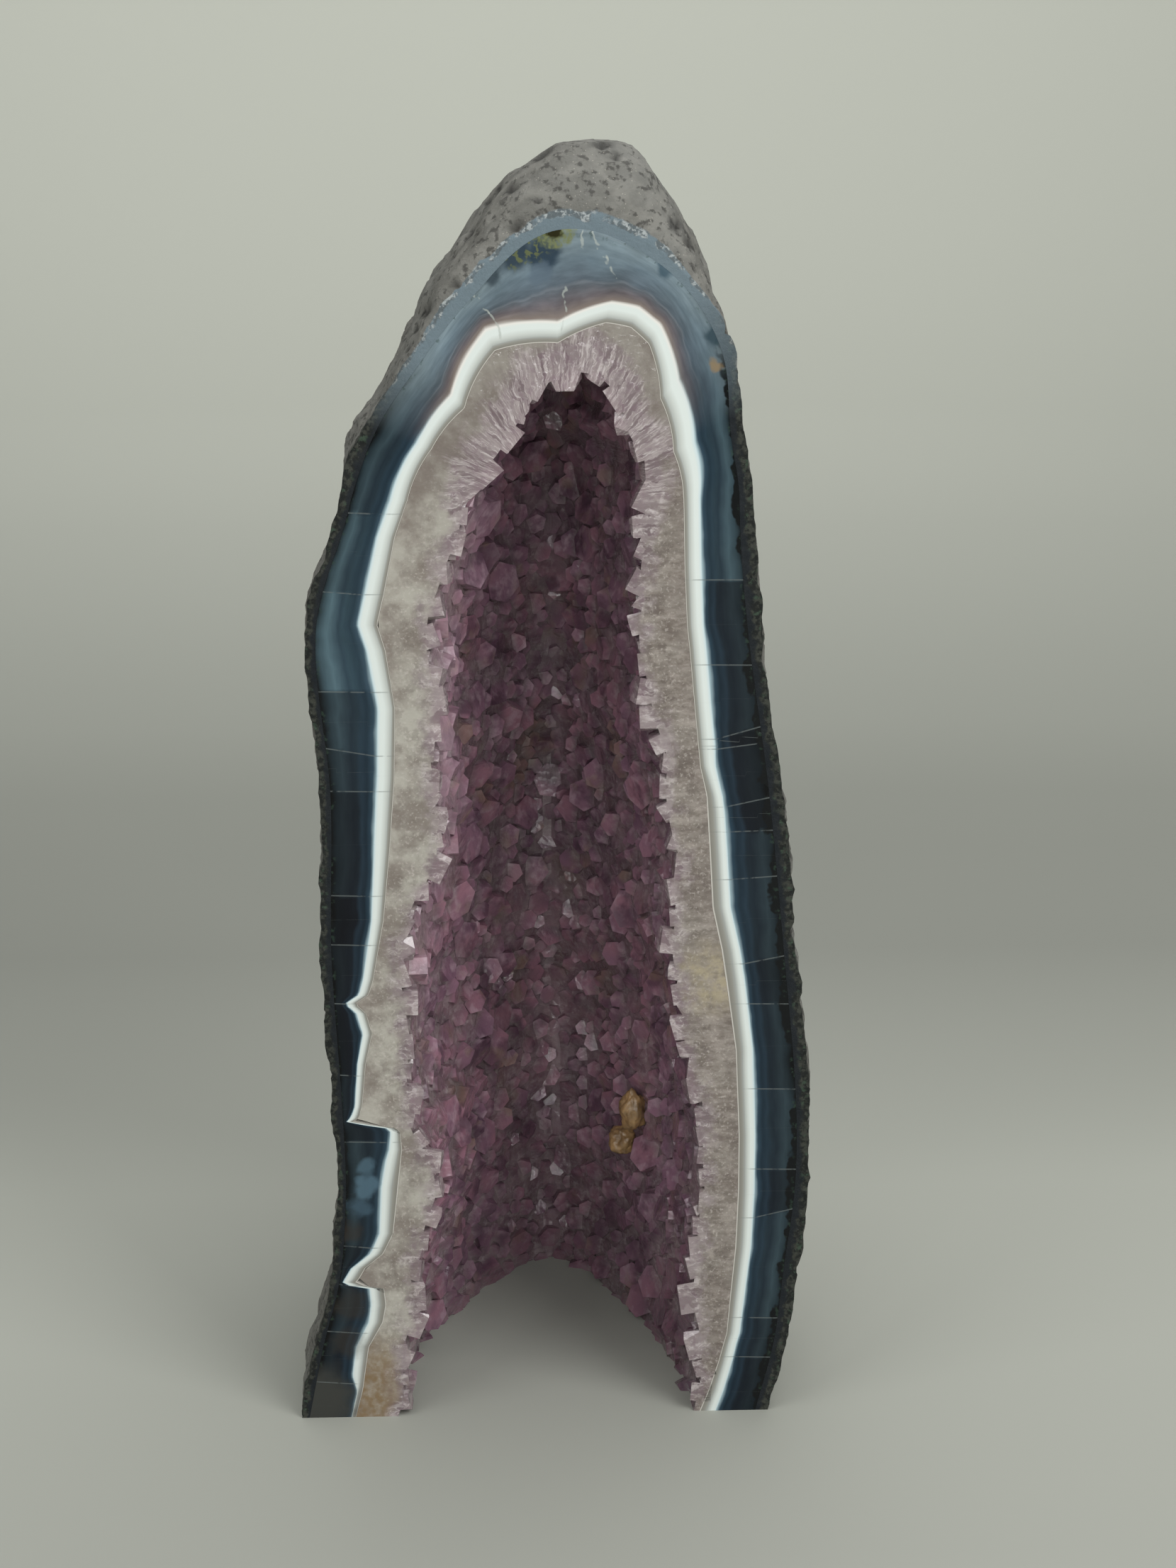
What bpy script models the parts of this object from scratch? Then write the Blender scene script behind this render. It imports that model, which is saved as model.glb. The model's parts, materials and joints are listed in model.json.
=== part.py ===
"""Amethyst cathedral geode, a nodule sawn open on one side and cut flat underneath.

Three nested layers share one way of describing a surface. A spine runs up the back of the
nodule, from the base to the spring of the arch. Rays leave it to the left, fan over the arch
and come down on the right, and every layer states how far it reaches along those rays on the
sawn face. From the face each ray's profile curves back to the spine as a superellipse.
"""

import math
import random

import bmesh
import bpy
import numpy as np
from mathutils import Matrix, Vector, noise

MM = 0.001
NAME = "amethyst_cathedral_geode"

# The spine, in millimetres on the sawn face
SPINE_X = 3.0
SPRING = 300.0

# Heights at which the sides are given, and how many equal sectors the arch is given in
LEVELS = (0, 25, 50, 80, 110, 160, 210, 262, 300)
SECTORS = 8

# Reach of each surface from the spine on the sawn face: up the left side, over the arch, down the right
ROCK_LEFT = (83.5, 78.5, 72.5, 70, 70.5, 72.5, 71.5, 74.5, 63.5)
ROCK_ARCH = (59.5, 59.5, 67, 81, 77.5, 68.5, 57.5)
ROCK_RIGHT = (56.5, 59.5, 67, 72.5, 77.5, 78, 75, 72.5, 67)
BAND_LEFT = (67, 61.5, 56, 51.5, 56, 55, 49.5, 53, 43.5)
BAND_ARCH = (39.5, 38.5, 46.5, 46, 53.5, 42, 36)
BAND_RIGHT = (36.5, 38, 44, 49.5, 55, 55.5, 54.5, 52.5, 45.5)
HOLLOW_LEFT = (54, 50, 45, 42, 46, 45, 36, 37, 28)
HOLLOW_ARCH = (25.5, 25, 29, 36, 37, 26, 24)
HOLLOW_RIGHT = (24, 23.5, 31.5, 36, 42, 44, 42, 42, 40)

# Depth of each surface behind the sawn face, and how square its profile is (2 is an ellipse)
ROCK_DEPTH = 135.0
ROCK_SQUARENESS = 2.5
BAND_DEPTH = 121.0
BAND_SQUARENESS = 2.4
HOLLOW_DEPTH = 113.0
HOLLOW_SQUARENESS = 1.55

# The nodule is deepest at this height, and shallower by these shares at the base and at the spring
DEEPEST = 110.0
SHALLOWER_BASE = 0.04
SHALLOWER_SPRING = 0.16

# Swelling of the dome behind the arch: how far by direction, in degrees from the right, and its share
# in each surface
SWELL_ANGLES = (0, 22, 40, 52, 60, 68, 74, 80, 86, 94, 103, 112, 122, 135, 155, 180)
SWELLS = (0, 0, 0, 2.7, 6.6, 12.4, 18.8, 22.1, 20.2, 16.4, 13, 10.3, 7.9, 3.7, 0, 0)
SWELL_PEAK = 0.58
BAND_SWELL = 0.6
HOLLOW_SWELL = 0.35

# Basalt rind: thin on the left of the face, thicker on the right and at the back
RIND_LEFT = 2.6
RIND_RIGHT = 4.4
RIND_BACK = 5.0
LUMP = 4.6
LUMP_SIZE = 25.0
PIT = 2.0
PIT_SIZE = 11.0
LUMP_LOWEST = -1.2
LUMP_CENTRE = ROCK_DEPTH / 3
FACE_LUMPS = 0.3
LUMP_RISE = 40.0

# Mesh of the smooth surfaces
SIDE_STEPS = 16
ARCH_STEPS = 18
RINGS = 8
RING_BIAS = 1.5
NORMAL_STEP = 0.004
MERGE = 1e-6

# Crystals of the crust
GAP = 0.3
CRYSTAL = 11.0
ROW = 9.6
TIP_LOW = 1.5
TIP_HIGH = 5.5
LEAN = 2.0
VALLEY = 2.2
ALONG_JITTER = 0.28
ACROSS_JITTER = 0.28
FRONT_ROW = -0.9
FIRST_ROW = 0.12
END_SPACE = 0.45
ROW_PLACE = 0.5
STAGGER = (0.25, 0.75)
FINE = 600
MARGIN = 8.0
SEED = 41

# Calcite grown on the right wall: height, turn of the wall's profile and radii
CALCITE = (
    (76.0, 0.48, (5.6, 5.0, 6.2)),
    (61.0, 0.52, (5.0, 5.0, 5.4)),
)
CALCITE_PROUD = 2.4
CALCITE_ROUGH = 0.25
CALCITE_ROUGH_SIZE = 5.0

# Looks: colour and roughness
BASALT = ((0.13, 0.13, 0.12), 0.85)
AGATE = ((0.06, 0.09, 0.13), 0.12)
AMETHYST = ((0.28, 0.10, 0.34), 0.08)
AMETHYST_CLEAR = 0.6
QUARTZ_IOR = 1.54


def smooth(knots, values, place):
    """Cubic curve through the values at the knots."""
    last = len(knots) - 1
    i = 0
    while i < last - 1 and place > knots[i + 1]:
        i += 1
    slopes = []
    for k in (i, i + 1):
        a, b = max(k - 1, 0), min(k + 1, last)
        slopes.append((values[b] - values[a]) / (knots[b] - knots[a]))
    span = knots[i + 1] - knots[i]
    t = min(max((place - knots[i]) / span, 0.0), 1.0)
    h = 3 * t * t - 2 * t * t * t
    rise = slopes[0] * (t - 2 * t * t + t * t * t) + slopes[1] * (t * t * t - t * t)
    return values[i] * (1 - h) + values[i + 1] * h + rise * span


# A place along the face edge: 0 to 1 is up the left side, 1 to 2 over the arch, 2 to 3 down the right
KNOTS = (
    [z / SPRING for z in LEVELS]
    + [1 + k / SECTORS for k in range(1, SECTORS)]
    + [3 - z / SPRING for z in reversed(LEVELS)]
)


def reach_of(left, arch, right):
    """Reach of a surface on the face as a function of the place along its edge."""
    values = [*left, *arch, *right]
    return lambda place: smooth(KNOTS, values, place)


def ray(place):
    """Start of a ray on the spine and its direction, as (x, z) pairs in millimetres."""
    if place <= 1:
        return (SPINE_X, SPRING * place), (-1.0, 0.0)
    if place < 2:
        angle = math.pi * (2 - place)
        return (SPINE_X, SPRING), (math.cos(angle), math.sin(angle))
    return (SPINE_X, SPRING * (3 - place)), (1.0, 0.0)


def depth_share(height):
    """Share of the full depth that the nodule has at a height."""
    if height < DEEPEST:
        return 1 - SHALLOWER_BASE * ((DEEPEST - max(height, 0)) / DEEPEST) ** 2
    return 1 - SHALLOWER_SPRING * ((height - DEEPEST) / (SPRING - DEEPEST)) ** 2


def swell_at(place):
    """How far the dome swells at a place along the edge, at most."""
    if not 1 < place < 2:
        return 0.0
    return smooth(SWELL_ANGLES, SWELLS, 180 * (2 - place))


class Surface:
    """One smooth surface of the nodule: its reach on the face, its depth and its profile."""

    def __init__(self, reach, depth, squareness, swell):
        self.reach = reach
        self.depth = depth
        self.power = 2 / squareness
        self.swell = swell

    def shrunk(self, amount, back=None):
        """The surface drawn in by an amount on the face, and by another at the back."""
        back = amount if back is None else back
        inner = amount if callable(amount) else lambda place: amount
        return Surface(
            lambda place: self.reach(place) - inner(place), self.depth - back, 2 / self.power, self.swell
        )

    def point(self, place, turn):
        """Point on the surface: turn 0 is on the face, 1 on the spine, below 0 in front of the face."""
        (x, z), (dx, dz) = ray(place)
        angle = math.pi / 2 * max(turn, 0.0)
        out = max(math.cos(angle), 0.0) ** self.power
        back = math.sin(angle) ** self.power
        reach = self.reach(place) * out
        reach += self.swell * swell_at(place) * math.sin(math.pi * back**SWELL_PEAK)
        height = z + dz * reach
        y = self.depth * depth_share(height) * back if turn >= 0 else turn * MARGIN
        return Vector((x + dx * reach, y, height))

    def inward(self, place, turn):
        """Direction from the surface into the hollow."""
        step = NORMAL_STEP
        along = self.point(place + step, turn) - self.point(place - step, turn)
        deeper = self.point(place, min(turn + step, 1.0)) - self.point(place, max(turn, step) - step)
        return deeper.cross(along).normalized()


def rind_thickness(place):
    """Thickness of the rind on the face, thin on the left and thicker on the right."""
    return RIND_LEFT + (RIND_RIGHT - RIND_LEFT) * place / 3


def edge_places():
    """Places of the mesh columns, the same heights on the left and on the right."""
    left = [k / SIDE_STEPS for k in range(SIDE_STEPS)]
    arch = [1 + k / ARCH_STEPS for k in range(ARCH_STEPS + 1)]
    return left + arch + [3 - place for place in reversed(left)]


def ring_turns():
    """Turns of the mesh rings, closer together near the face."""
    return [(k / RINGS) ** RING_BIAS for k in range(RINGS + 1)]


def grid_points(surface, places, turns):
    """Columns of points of a surface, one for each place."""
    return [[surface.point(place, turn) for turn in turns] for place in places]


def add_verts(bm, points):
    """Vertices at points given in millimetres."""
    return [bm.verts.new(point * MM) for point in points]


def add_face(bm, corners):
    """A triangle, left out where it has shrunk to a line."""
    if len({tuple(round(c, 8) for c in corner.co) for corner in corners}) == 3:
        bm.faces.new(corners)


def add_grid(bm, grid):
    """Both triangles of each cell, with the same diagonal in every surface."""
    columns = [add_verts(bm, column) for column in grid]
    for near, far in zip(columns, columns[1:]):
        for j in range(len(near) - 1):
            add_face(bm, (near[j], far[j], far[j + 1]))
            add_face(bm, (near[j], far[j + 1], near[j + 1]))
    return columns


def zip_rows(bm, one, two):
    """Triangles between two rows of vertices with unlike counts, over the shorter diagonals."""
    i = j = 0
    while i < len(one) - 1 or j < len(two) - 1:
        if j == len(two) - 1:
            ahead = True
        elif i == len(one) - 1:
            ahead = False
        else:
            ahead = (one[i + 1].co - two[j].co).length < (one[i].co - two[j + 1].co).length
        if ahead:
            add_face(bm, (one[i], one[i + 1], two[j]))
            i += 1
        else:
            add_face(bm, (one[i], two[j + 1], two[j]))
            j += 1


def finished(bm, name, collection, look):
    """The mesh as a named object with its seams merged and its faces pointing out."""
    bmesh.ops.remove_doubles(bm, verts=bm.verts, dist=MERGE)
    bmesh.ops.recalc_face_normals(bm, faces=bm.faces)
    mesh = bpy.data.meshes.new(name)
    bm.to_mesh(mesh)
    bm.free()
    mesh.materials.append(look)
    made = bpy.data.objects.new(name, mesh)
    collection.objects.link(made)
    return made


def material(name, colour, roughness, **inputs):
    """A plain material, with further inputs of its shader given by name."""
    look = bpy.data.materials.new(name)
    look.use_nodes = True
    shader = look.node_tree.nodes["Principled BSDF"]
    shader.inputs["Base Color"].default_value = (*colour, 1.0)
    shader.inputs["Roughness"].default_value = roughness
    shader.inputs["Metallic"].default_value = 0.0
    for label, value in inputs.items():
        shader.inputs[label.replace("_", " ")].default_value = value
    return look


def lumps(grid, places, turns):
    """The rock's lumps and pits, low at the face and full behind it, flat on the face and on the base."""
    rough = []
    for place, column in zip(places, grid):
        row = []
        for turn, point in zip(turns, column):
            (x, z), _ = ray(place)
            out = Vector((point.x - x, max(point.y - LUMP_CENTRE, 0.0), point.z - z))
            if turn == 0:
                out.y = 0.0
            lump = LUMP * noise.noise(point / LUMP_SIZE) + PIT * noise.noise(point / PIT_SIZE)
            share = FACE_LUMPS + (1 - FACE_LUMPS) * min(point.y / LUMP_RISE, 1.0)
            row.append(point + out.normalized() * max(lump, LUMP_LOWEST) * share)
        rough.append(row)
    return rough


def layer(name, outer, inner, collection, look, rough=False):
    """A closed wall between two surfaces, flat on the sawn face and on the base."""
    places, turns = edge_places(), ring_turns()
    bm = bmesh.new()
    skin = grid_points(outer, places, turns)
    if rough:
        skin = lumps(skin, places, turns)
    out = add_grid(bm, skin)
    inn = add_grid(bm, grid_points(inner, places, turns))
    zip_rows(bm, [column[0] for column in out], [column[0] for column in inn])
    for end in (0, -1):
        for j in range(RINGS):
            add_face(bm, (out[end][j], inn[end][j], out[end][j + 1]))
            add_face(bm, (inn[end][j], inn[end][j + 1], out[end][j + 1]))
    return finished(bm, name, collection, look)


def lengths_along(points):
    """Distance walked along a line of points, up to each point."""
    steps = [(b - a).length for a, b in zip(points, points[1:])]
    return np.concatenate(([0.0], np.cumsum(steps)))


def row_turns(surface):
    """Turns of the rows of crystals, evenly spaced from the face to just beside the spine."""
    fine = [k / FINE for k in range(FINE)]
    path = [surface.point(ROW_PLACE, turn) for turn in fine]
    path = [point for point in path if SPINE_X - point.x > CRYSTAL / 2]
    lengths = lengths_along(path)
    count = round(lengths[-1] / ROW)
    wanted = [lengths[-1] * (k + FIRST_ROW) / (count + FIRST_ROW) for k in range(count + 1)]
    return list(np.interp(wanted, lengths, fine[: len(path)]))


def crystal_rows(surface, chance):
    """Rows of crystal places from in front of the face to the spine, evenly spread along each row."""
    turns = [FRONT_ROW, *row_turns(surface)]
    low = -MARGIN / SPRING
    fine = [low + (3 - 2 * low) * k / FINE for k in range(FINE + 1)]
    rows = []
    for index, turn in enumerate(turns):
        sway = ACROSS_JITTER * (turn - turns[index - 1]) if index > 1 else 0.0
        lengths = lengths_along([surface.point(place, turn) for place in fine])
        count = round(lengths[-1] / CRYSTAL)
        spacing = lengths[-1] / count
        row = [(low, turn)]
        for k in range(count):
            at = spacing * (k + STAGGER[index % 2])
            at += spacing * ALONG_JITTER * chance.uniform(-1, 1)
            at = min(max(at, END_SPACE * spacing), lengths[-1] - END_SPACE * spacing)
            place = float(np.interp(at, lengths, fine))
            row.append((place, turn + sway * chance.uniform(-1, 1)))
        row.append((3 - low, turn))
        rows.append(row)
    return rows


def crystal_net(surface, chance):
    """Triangles between neighbouring crystals, the tips at the corners."""
    bm = bmesh.new()
    tips = {}
    rows = []
    for places in crystal_rows(surface, chance):
        row = []
        for number, (place, turn) in enumerate(places):
            base = surface.point(place, turn)
            vert = bm.verts.new(base * MM)
            tip = base
            if rows and 0 < number < len(places) - 1:
                inward = surface.inward(place, turn)
                lean = Vector([chance.uniform(-1, 1) for _ in range(3)]) * LEAN
                lean -= inward * lean.dot(inward)
                tip = base + inward * chance.uniform(TIP_LOW, TIP_HIGH) + lean
            tips[vert] = tip
            row.append(vert)
        rows.append(row)
    for one, two in zip(rows, rows[1:]):
        zip_rows(bm, one, two)
    last = rows[-1]
    top = max(range(len(last)), key=lambda k: last[k].co.z)
    zip_rows(bm, last[: top + 1], last[top:][::-1])
    return bm, rows, tips


def add_crystals(bm, surface, chance):
    """Pointed crystals with flat faces. Returns the rim along the front and the one along the base."""
    net, rows, tips = crystal_net(surface, chance)
    net.faces.ensure_lookup_table()
    centre = Vector((SPINE_X, 0.0, 0.0))
    peak = {vert: bm.verts.new(tip * MM) for vert, tip in tips.items()}
    dip = {}
    for face in net.faces:
        middle = face.calc_center_median() / MM
        centre.z = min(max(middle.z, 0.0), SPRING)
        outward = (middle - centre).normalized()
        dip[face] = bm.verts.new((middle + outward * VALLEY) * MM)
    for edge in net.edges:
        a, b = (peak[vert] for vert in edge.verts)
        sides = [dip[face] for face in edge.link_faces]
        if len(sides) == 2:
            add_face(bm, (a, sides[0], sides[1]))
            add_face(bm, (b, sides[1], sides[0]))
        else:
            add_face(bm, (a, b, sides[0]))
    front = [peak[vert] for vert in rows[0]]
    base = [peak[row[0]] for row in rows] + [peak[row[-1]] for row in reversed(rows)]
    net.free()
    return front, base


def block(name, lowest, highest, collection):
    """A cutter between two corners, in millimetres."""
    bm = bmesh.new()
    size = [b - a for a, b in zip(lowest, highest)]
    middle = [(a + b) / 2 for a, b in zip(lowest, highest)]
    bmesh.ops.create_cube(bm, size=1.0)
    bmesh.ops.transform(bm, matrix=Matrix.Diagonal((*size, 1)), verts=bm.verts)
    bmesh.ops.transform(bm, matrix=Matrix.Translation(middle), verts=bm.verts)
    bmesh.ops.transform(bm, matrix=Matrix.Diagonal((MM, MM, MM, 1)), verts=bm.verts)
    mesh = bpy.data.meshes.new(name)
    bm.to_mesh(mesh)
    bm.free()
    cutter = bpy.data.objects.new(name, mesh)
    collection.objects.link(cutter)
    cutter.hide_render = True
    cutter.display_type = "WIRE"
    return cutter


def lump(name, place, radii, collection):
    """A rounded lump to be joined on, hidden like the cutters."""
    bm = bmesh.new()
    bmesh.ops.create_icosphere(bm, subdivisions=2, radius=MM)
    for vert in bm.verts:
        vert.co = Vector([c * r for c, r in zip(vert.co, radii)])
        vert.co *= 1 + CALCITE_ROUGH * noise.noise(vert.co / (CALCITE_ROUGH_SIZE * MM) + place)
        vert.co += place * MM
    mesh = bpy.data.meshes.new(name)
    bm.to_mesh(mesh)
    bm.free()
    made = bpy.data.objects.new(name, mesh)
    collection.objects.link(made)
    made.hide_render = True
    made.display_type = "WIRE"
    return made


def boolean(target, tool, operation):
    """Joins a tool to the target or cuts it away, as a modifier."""
    modifier = target.modifiers.new(tool.name, "BOOLEAN")
    modifier.operation = operation
    modifier.solver = "EXACT"
    modifier.object = tool


def crust(outer, hollow, collection, cutters, look):
    """The quartz layer with its crystals, cut by the sawn face and by the base."""
    low = -MARGIN / SPRING
    chance = random.Random(SEED)
    bm = bmesh.new()
    places, turns = [low, *edge_places(), 3 - low], [-1.0, *ring_turns()]
    back = add_grid(bm, grid_points(outer, places, turns))
    front_rim, base_rim = add_crystals(bm, hollow, chance)
    zip_rows(bm, [column[0] for column in back], front_rim)
    zip_rows(bm, back[0] + back[-1][::-1], base_rim)
    made = finished(bm, "amethyst_crust", collection, look)
    for number, (height, turn, radii) in enumerate(CALCITE):
        place = 3 - height / SPRING
        lump_at = hollow.point(place, turn) + hollow.inward(place, turn) * CALCITE_PROUD
        boolean(made, lump(f"calcite_{number + 1}", lump_at, radii, cutters), "UNION")
    far = 3 * SPRING
    boolean(made, block("sawn_face", (-far, -far, -far), (far, 0, far), cutters), "DIFFERENCE")
    boolean(made, block("sawn_base", (-far, -far, -far), (far, far, 0), cutters), "DIFFERENCE")
    return made


def stand_on_origin(made, movers):
    """Moves everything so that the whole part's box stands on the origin, centred."""
    corners = [vert.co for thing in made for vert in thing.data.vertices]
    low = [min(c[axis] for c in corners) for axis in range(3)]
    high = [max(c[axis] for c in corners) for axis in range(3)]
    shift = Vector((-(low[0] + high[0]) / 2, -high[1] / 2, 0.0))
    for thing in movers:
        thing.location += shift


def build():
    """Clears the scene and builds the three layers."""
    for old in list(bpy.data.objects):
        bpy.data.objects.remove(old, do_unlink=True)
    parts = bpy.data.collections.new(NAME)
    cutters = bpy.data.collections.new("cutters")
    bpy.context.scene.collection.children.link(parts)
    bpy.context.scene.collection.children.link(cutters)

    rock = Surface(
        reach_of(ROCK_LEFT, ROCK_ARCH, ROCK_RIGHT), ROCK_DEPTH, ROCK_SQUARENESS, 1.0
    )
    band = Surface(
        reach_of(BAND_LEFT, BAND_ARCH, BAND_RIGHT), BAND_DEPTH, BAND_SQUARENESS, BAND_SWELL
    )
    hollow = Surface(
        reach_of(HOLLOW_LEFT, HOLLOW_ARCH, HOLLOW_RIGHT), HOLLOW_DEPTH, HOLLOW_SQUARENESS, HOLLOW_SWELL
    )
    rock_inside = rock.shrunk(rind_thickness, RIND_BACK)

    rind = layer("basalt_rind", rock, rock_inside, parts, material("basalt", *BASALT), rough=True)
    wall = layer("agate_wall", rock_inside.shrunk(GAP), band, parts, material("agate", *AGATE))
    quartz = material("amethyst", *AMETHYST, Transmission_Weight=AMETHYST_CLEAR, IOR=QUARTZ_IOR)
    lining = crust(band.shrunk(GAP), hollow, parts, cutters, quartz)
    made = [rind, wall, lining]
    stand_on_origin([rind, wall], made + list(cutters.objects))


build()
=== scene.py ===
import json
import math
import random

import bpy
import numpy as np
from mathutils import Matrix, Vector, noise
from mathutils.bvhtree import BVHTree
from mathutils.kdtree import KDTree

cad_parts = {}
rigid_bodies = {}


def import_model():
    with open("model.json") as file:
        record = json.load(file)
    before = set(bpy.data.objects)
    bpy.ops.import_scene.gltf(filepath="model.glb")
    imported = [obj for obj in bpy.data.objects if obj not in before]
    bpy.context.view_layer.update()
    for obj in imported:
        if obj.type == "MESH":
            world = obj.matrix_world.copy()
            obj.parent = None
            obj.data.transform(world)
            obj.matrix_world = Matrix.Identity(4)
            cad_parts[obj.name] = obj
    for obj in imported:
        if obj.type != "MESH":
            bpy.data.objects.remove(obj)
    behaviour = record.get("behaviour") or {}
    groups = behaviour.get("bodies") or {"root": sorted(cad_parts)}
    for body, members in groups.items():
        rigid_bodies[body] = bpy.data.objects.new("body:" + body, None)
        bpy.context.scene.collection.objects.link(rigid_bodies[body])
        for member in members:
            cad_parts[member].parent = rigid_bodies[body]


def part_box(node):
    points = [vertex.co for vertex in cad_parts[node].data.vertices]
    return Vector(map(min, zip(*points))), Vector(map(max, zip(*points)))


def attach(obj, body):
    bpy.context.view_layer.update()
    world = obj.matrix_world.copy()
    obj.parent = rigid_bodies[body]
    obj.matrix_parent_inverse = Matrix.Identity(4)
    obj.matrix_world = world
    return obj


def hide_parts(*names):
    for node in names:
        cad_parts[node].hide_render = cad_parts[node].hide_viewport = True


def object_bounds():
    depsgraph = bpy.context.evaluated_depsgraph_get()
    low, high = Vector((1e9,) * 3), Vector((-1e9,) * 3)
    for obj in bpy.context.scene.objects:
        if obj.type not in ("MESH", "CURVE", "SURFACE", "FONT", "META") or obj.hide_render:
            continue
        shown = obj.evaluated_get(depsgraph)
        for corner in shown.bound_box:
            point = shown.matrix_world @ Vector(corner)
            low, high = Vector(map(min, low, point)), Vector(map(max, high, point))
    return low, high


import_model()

bl_info = {
    "name": "Amethyst cathedral geode",
    "version": (1, 0, 0),
    "blender": (4, 5, 0),
    "location": "View3D > Sidebar > Geode",
    "description": "Finishes the rind, the banded agate, the crystals and the stage of a cut geode",
    "category": "Object",
}

CAD_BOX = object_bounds()
MM = 0.001

# The spine of the nodule and the levels at which its sides are given, in millimetres on the sawn face
SPINE_X = 3.0
SPRING = 300.0
LEVELS = (0, 25, 50, 80, 110, 160, 210, 262, 300)
SECTORS = 8
KNOTS = np.array(
    [z / SPRING for z in LEVELS]
    + [1 + k / SECTORS for k in range(1, SECTORS)]
    + [3 - z / SPRING for z in reversed(LEVELS)]
)

# Reach of each surface from the spine: up the left side, over the arch, down the right side
ROCK_REACH = (
    83.5, 78.5, 72.5, 70, 70.5, 72.5, 71.5, 74.5, 63.5,
    59.5, 59.5, 67, 81, 77.5, 68.5, 57.5,
    56.5, 59.5, 67, 72.5, 77.5, 78, 75, 72.5, 67,
)
BAND_REACH = (
    67, 61.5, 56, 51.5, 56, 55, 49.5, 53, 43.5,
    39.5, 38.5, 46.5, 46, 53.5, 42, 36,
    36.5, 38, 44, 49.5, 55, 55.5, 54.5, 52.5, 45.5,
)
HOLLOW_REACH = (
    54, 50, 45, 42, 46, 45, 36, 37, 28,
    25.5, 25, 29, 36, 37, 26, 24,
    24, 23.5, 31.5, 36, 42, 44, 42, 42, 40,
)

# Depth of each surface, how square its profile is and its share of the dome's swelling
ROCK_FORM = (135.0, 2.5, 1.0)
BAND_FORM = (121.0, 2.4, 0.6)
HOLLOW_FORM = (113.0, 1.55, 0.35)
DEEPEST = 110.0
SHALLOWER_BASE = 0.04
SHALLOWER_SPRING = 0.16
SWELL_ANGLES = (0, 22, 40, 52, 60, 68, 74, 80, 86, 94, 103, 112, 122, 135, 155, 180)
SWELLS = (0, 0, 0, 2.7, 6.6, 12.4, 18.8, 22.1, 20.2, 16.4, 13, 10.3, 7.9, 3.7, 0, 0)
SWELL_PEAK = 0.58
RIND_LEFT = 2.6
RIND_RIGHT = 4.4
RIND_BACK = 5.0
CAD_GAP = 0.3
MARGIN = 8.0
SEAM_WIDTH = 0.005 * MM
EDGE_SAMPLES = 800
TURN_SAMPLES = 600

# From the profile's own millimetres to the frame, whose agate node gives the spine and the face
AGATE_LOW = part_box("agate_wall")[0]
SPINE_IN_FRAME = AGATE_LOW.x / MM + ROCK_REACH[0] - RIND_LEFT - CAD_GAP
TO_FRAME = np.array((SPINE_IN_FRAME - SPINE_X, AGATE_LOW.y / MM, 0.0))

# The thin pale line at the quartz on the face: heights and reaches, the left side with its cusps
LINE_LEFT = (
    (0, 66), (10, 63.5), (25, 61.3), (34, 56.5), (40, 55.4), (46, 56), (47.5, 65.5), (49, 64),
    (53, 61.8), (58, 56), (65, 52.7), (80, 50.9), (94, 49.4), (101, 50), (103.5, 64.5), (105, 62.5),
    (109, 61.4), (123, 60), (133, 57.8), (140, 59.5), (143, 62.8), (146, 58.5), (151, 57), (161, 55.2),
    (170, 53.5), (193, 51.1), (215, 49.3), (237, 48.7), (255, 51.1), (263, 53.4), (272, 51.2),
    (289, 47.7), (299, 44.2),
)
LINE_ARCH = (
    (180, 43.8), (157.5, 39.5), (135, 38), (112.5, 47), (90, 45.5), (75, 53), (67.5, 54), (60, 52),
    (45, 41.5), (22.5, 36), (1, 36.3),
)
LINE_RIGHT = (
    (296, 36.5), (280, 36.9), (262, 37.8), (254, 38.7), (236, 40.4), (218, 42.2), (209, 44.2),
    (191, 45.4), (173, 46.5), (159, 49.5), (145, 51.6), (126, 54.3), (97, 55.7), (78, 55.8),
    (58, 55.2), (43, 54), (28, 52.9), (17.6, 50.4), (7.5, 47.4), (0, 44.6),
)

# Turns of the rows close to the face, between the pale line there and the band's own form behind it
LINE_TURNS = (0.0, 0.012, 0.025, 0.045, 0.07, 0.09)
LINE_FADES = LINE_TURNS[-1]

# Widths of the grey band and of the white band outside it, by place along the edge
GREY_BAND = (
    (0, 1.2), (0.08, 1.5), (0.13, 2.3), (0.2, 1.5), (0.27, 2.4), (0.33, 0.9), (0.5, 1.0), (0.7, 1.4),
    (0.8, 0.9), (0.9, 1.5), (1, 1), (1.25, 1.6), (1.5, 1.8), (1.8, 1.5), (2, 1.4), (2.2, 1.3),
    (2.27, 1.4), (2.32, 2.6), (2.5, 3.1), (2.6, 2.2), (2.8, 2.4), (2.92, 1.5), (3, 2.5),
)
WHITE_BAND = (
    (0, 0.2), (0.03, 0.4), (0.05, 2.8), (0.2, 2.8), (0.3, 3.4), (0.36, 1.4), (0.45, 2.1), (0.55, 2.6),
    (0.65, 3.9), (0.85, 4.8), (1, 4.4), (1.15, 3.7), (1.25, 4.4), (1.375, 5.6), (1.5, 4.8), (1.65, 5.3),
    (1.75, 6.7), (1.875, 5.8), (2, 3.8), (2.25, 4), (2.3, 2.8), (2.5, 2.9), (2.6, 3.4), (2.8, 2.9),
    (3, 2.9),
)

# Where along the edge the milky top of the agate fades in and out
TOP_FADE = ((1.12, 1.26, 1.68, 1.86), (0, 1, 1, 0))

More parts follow.
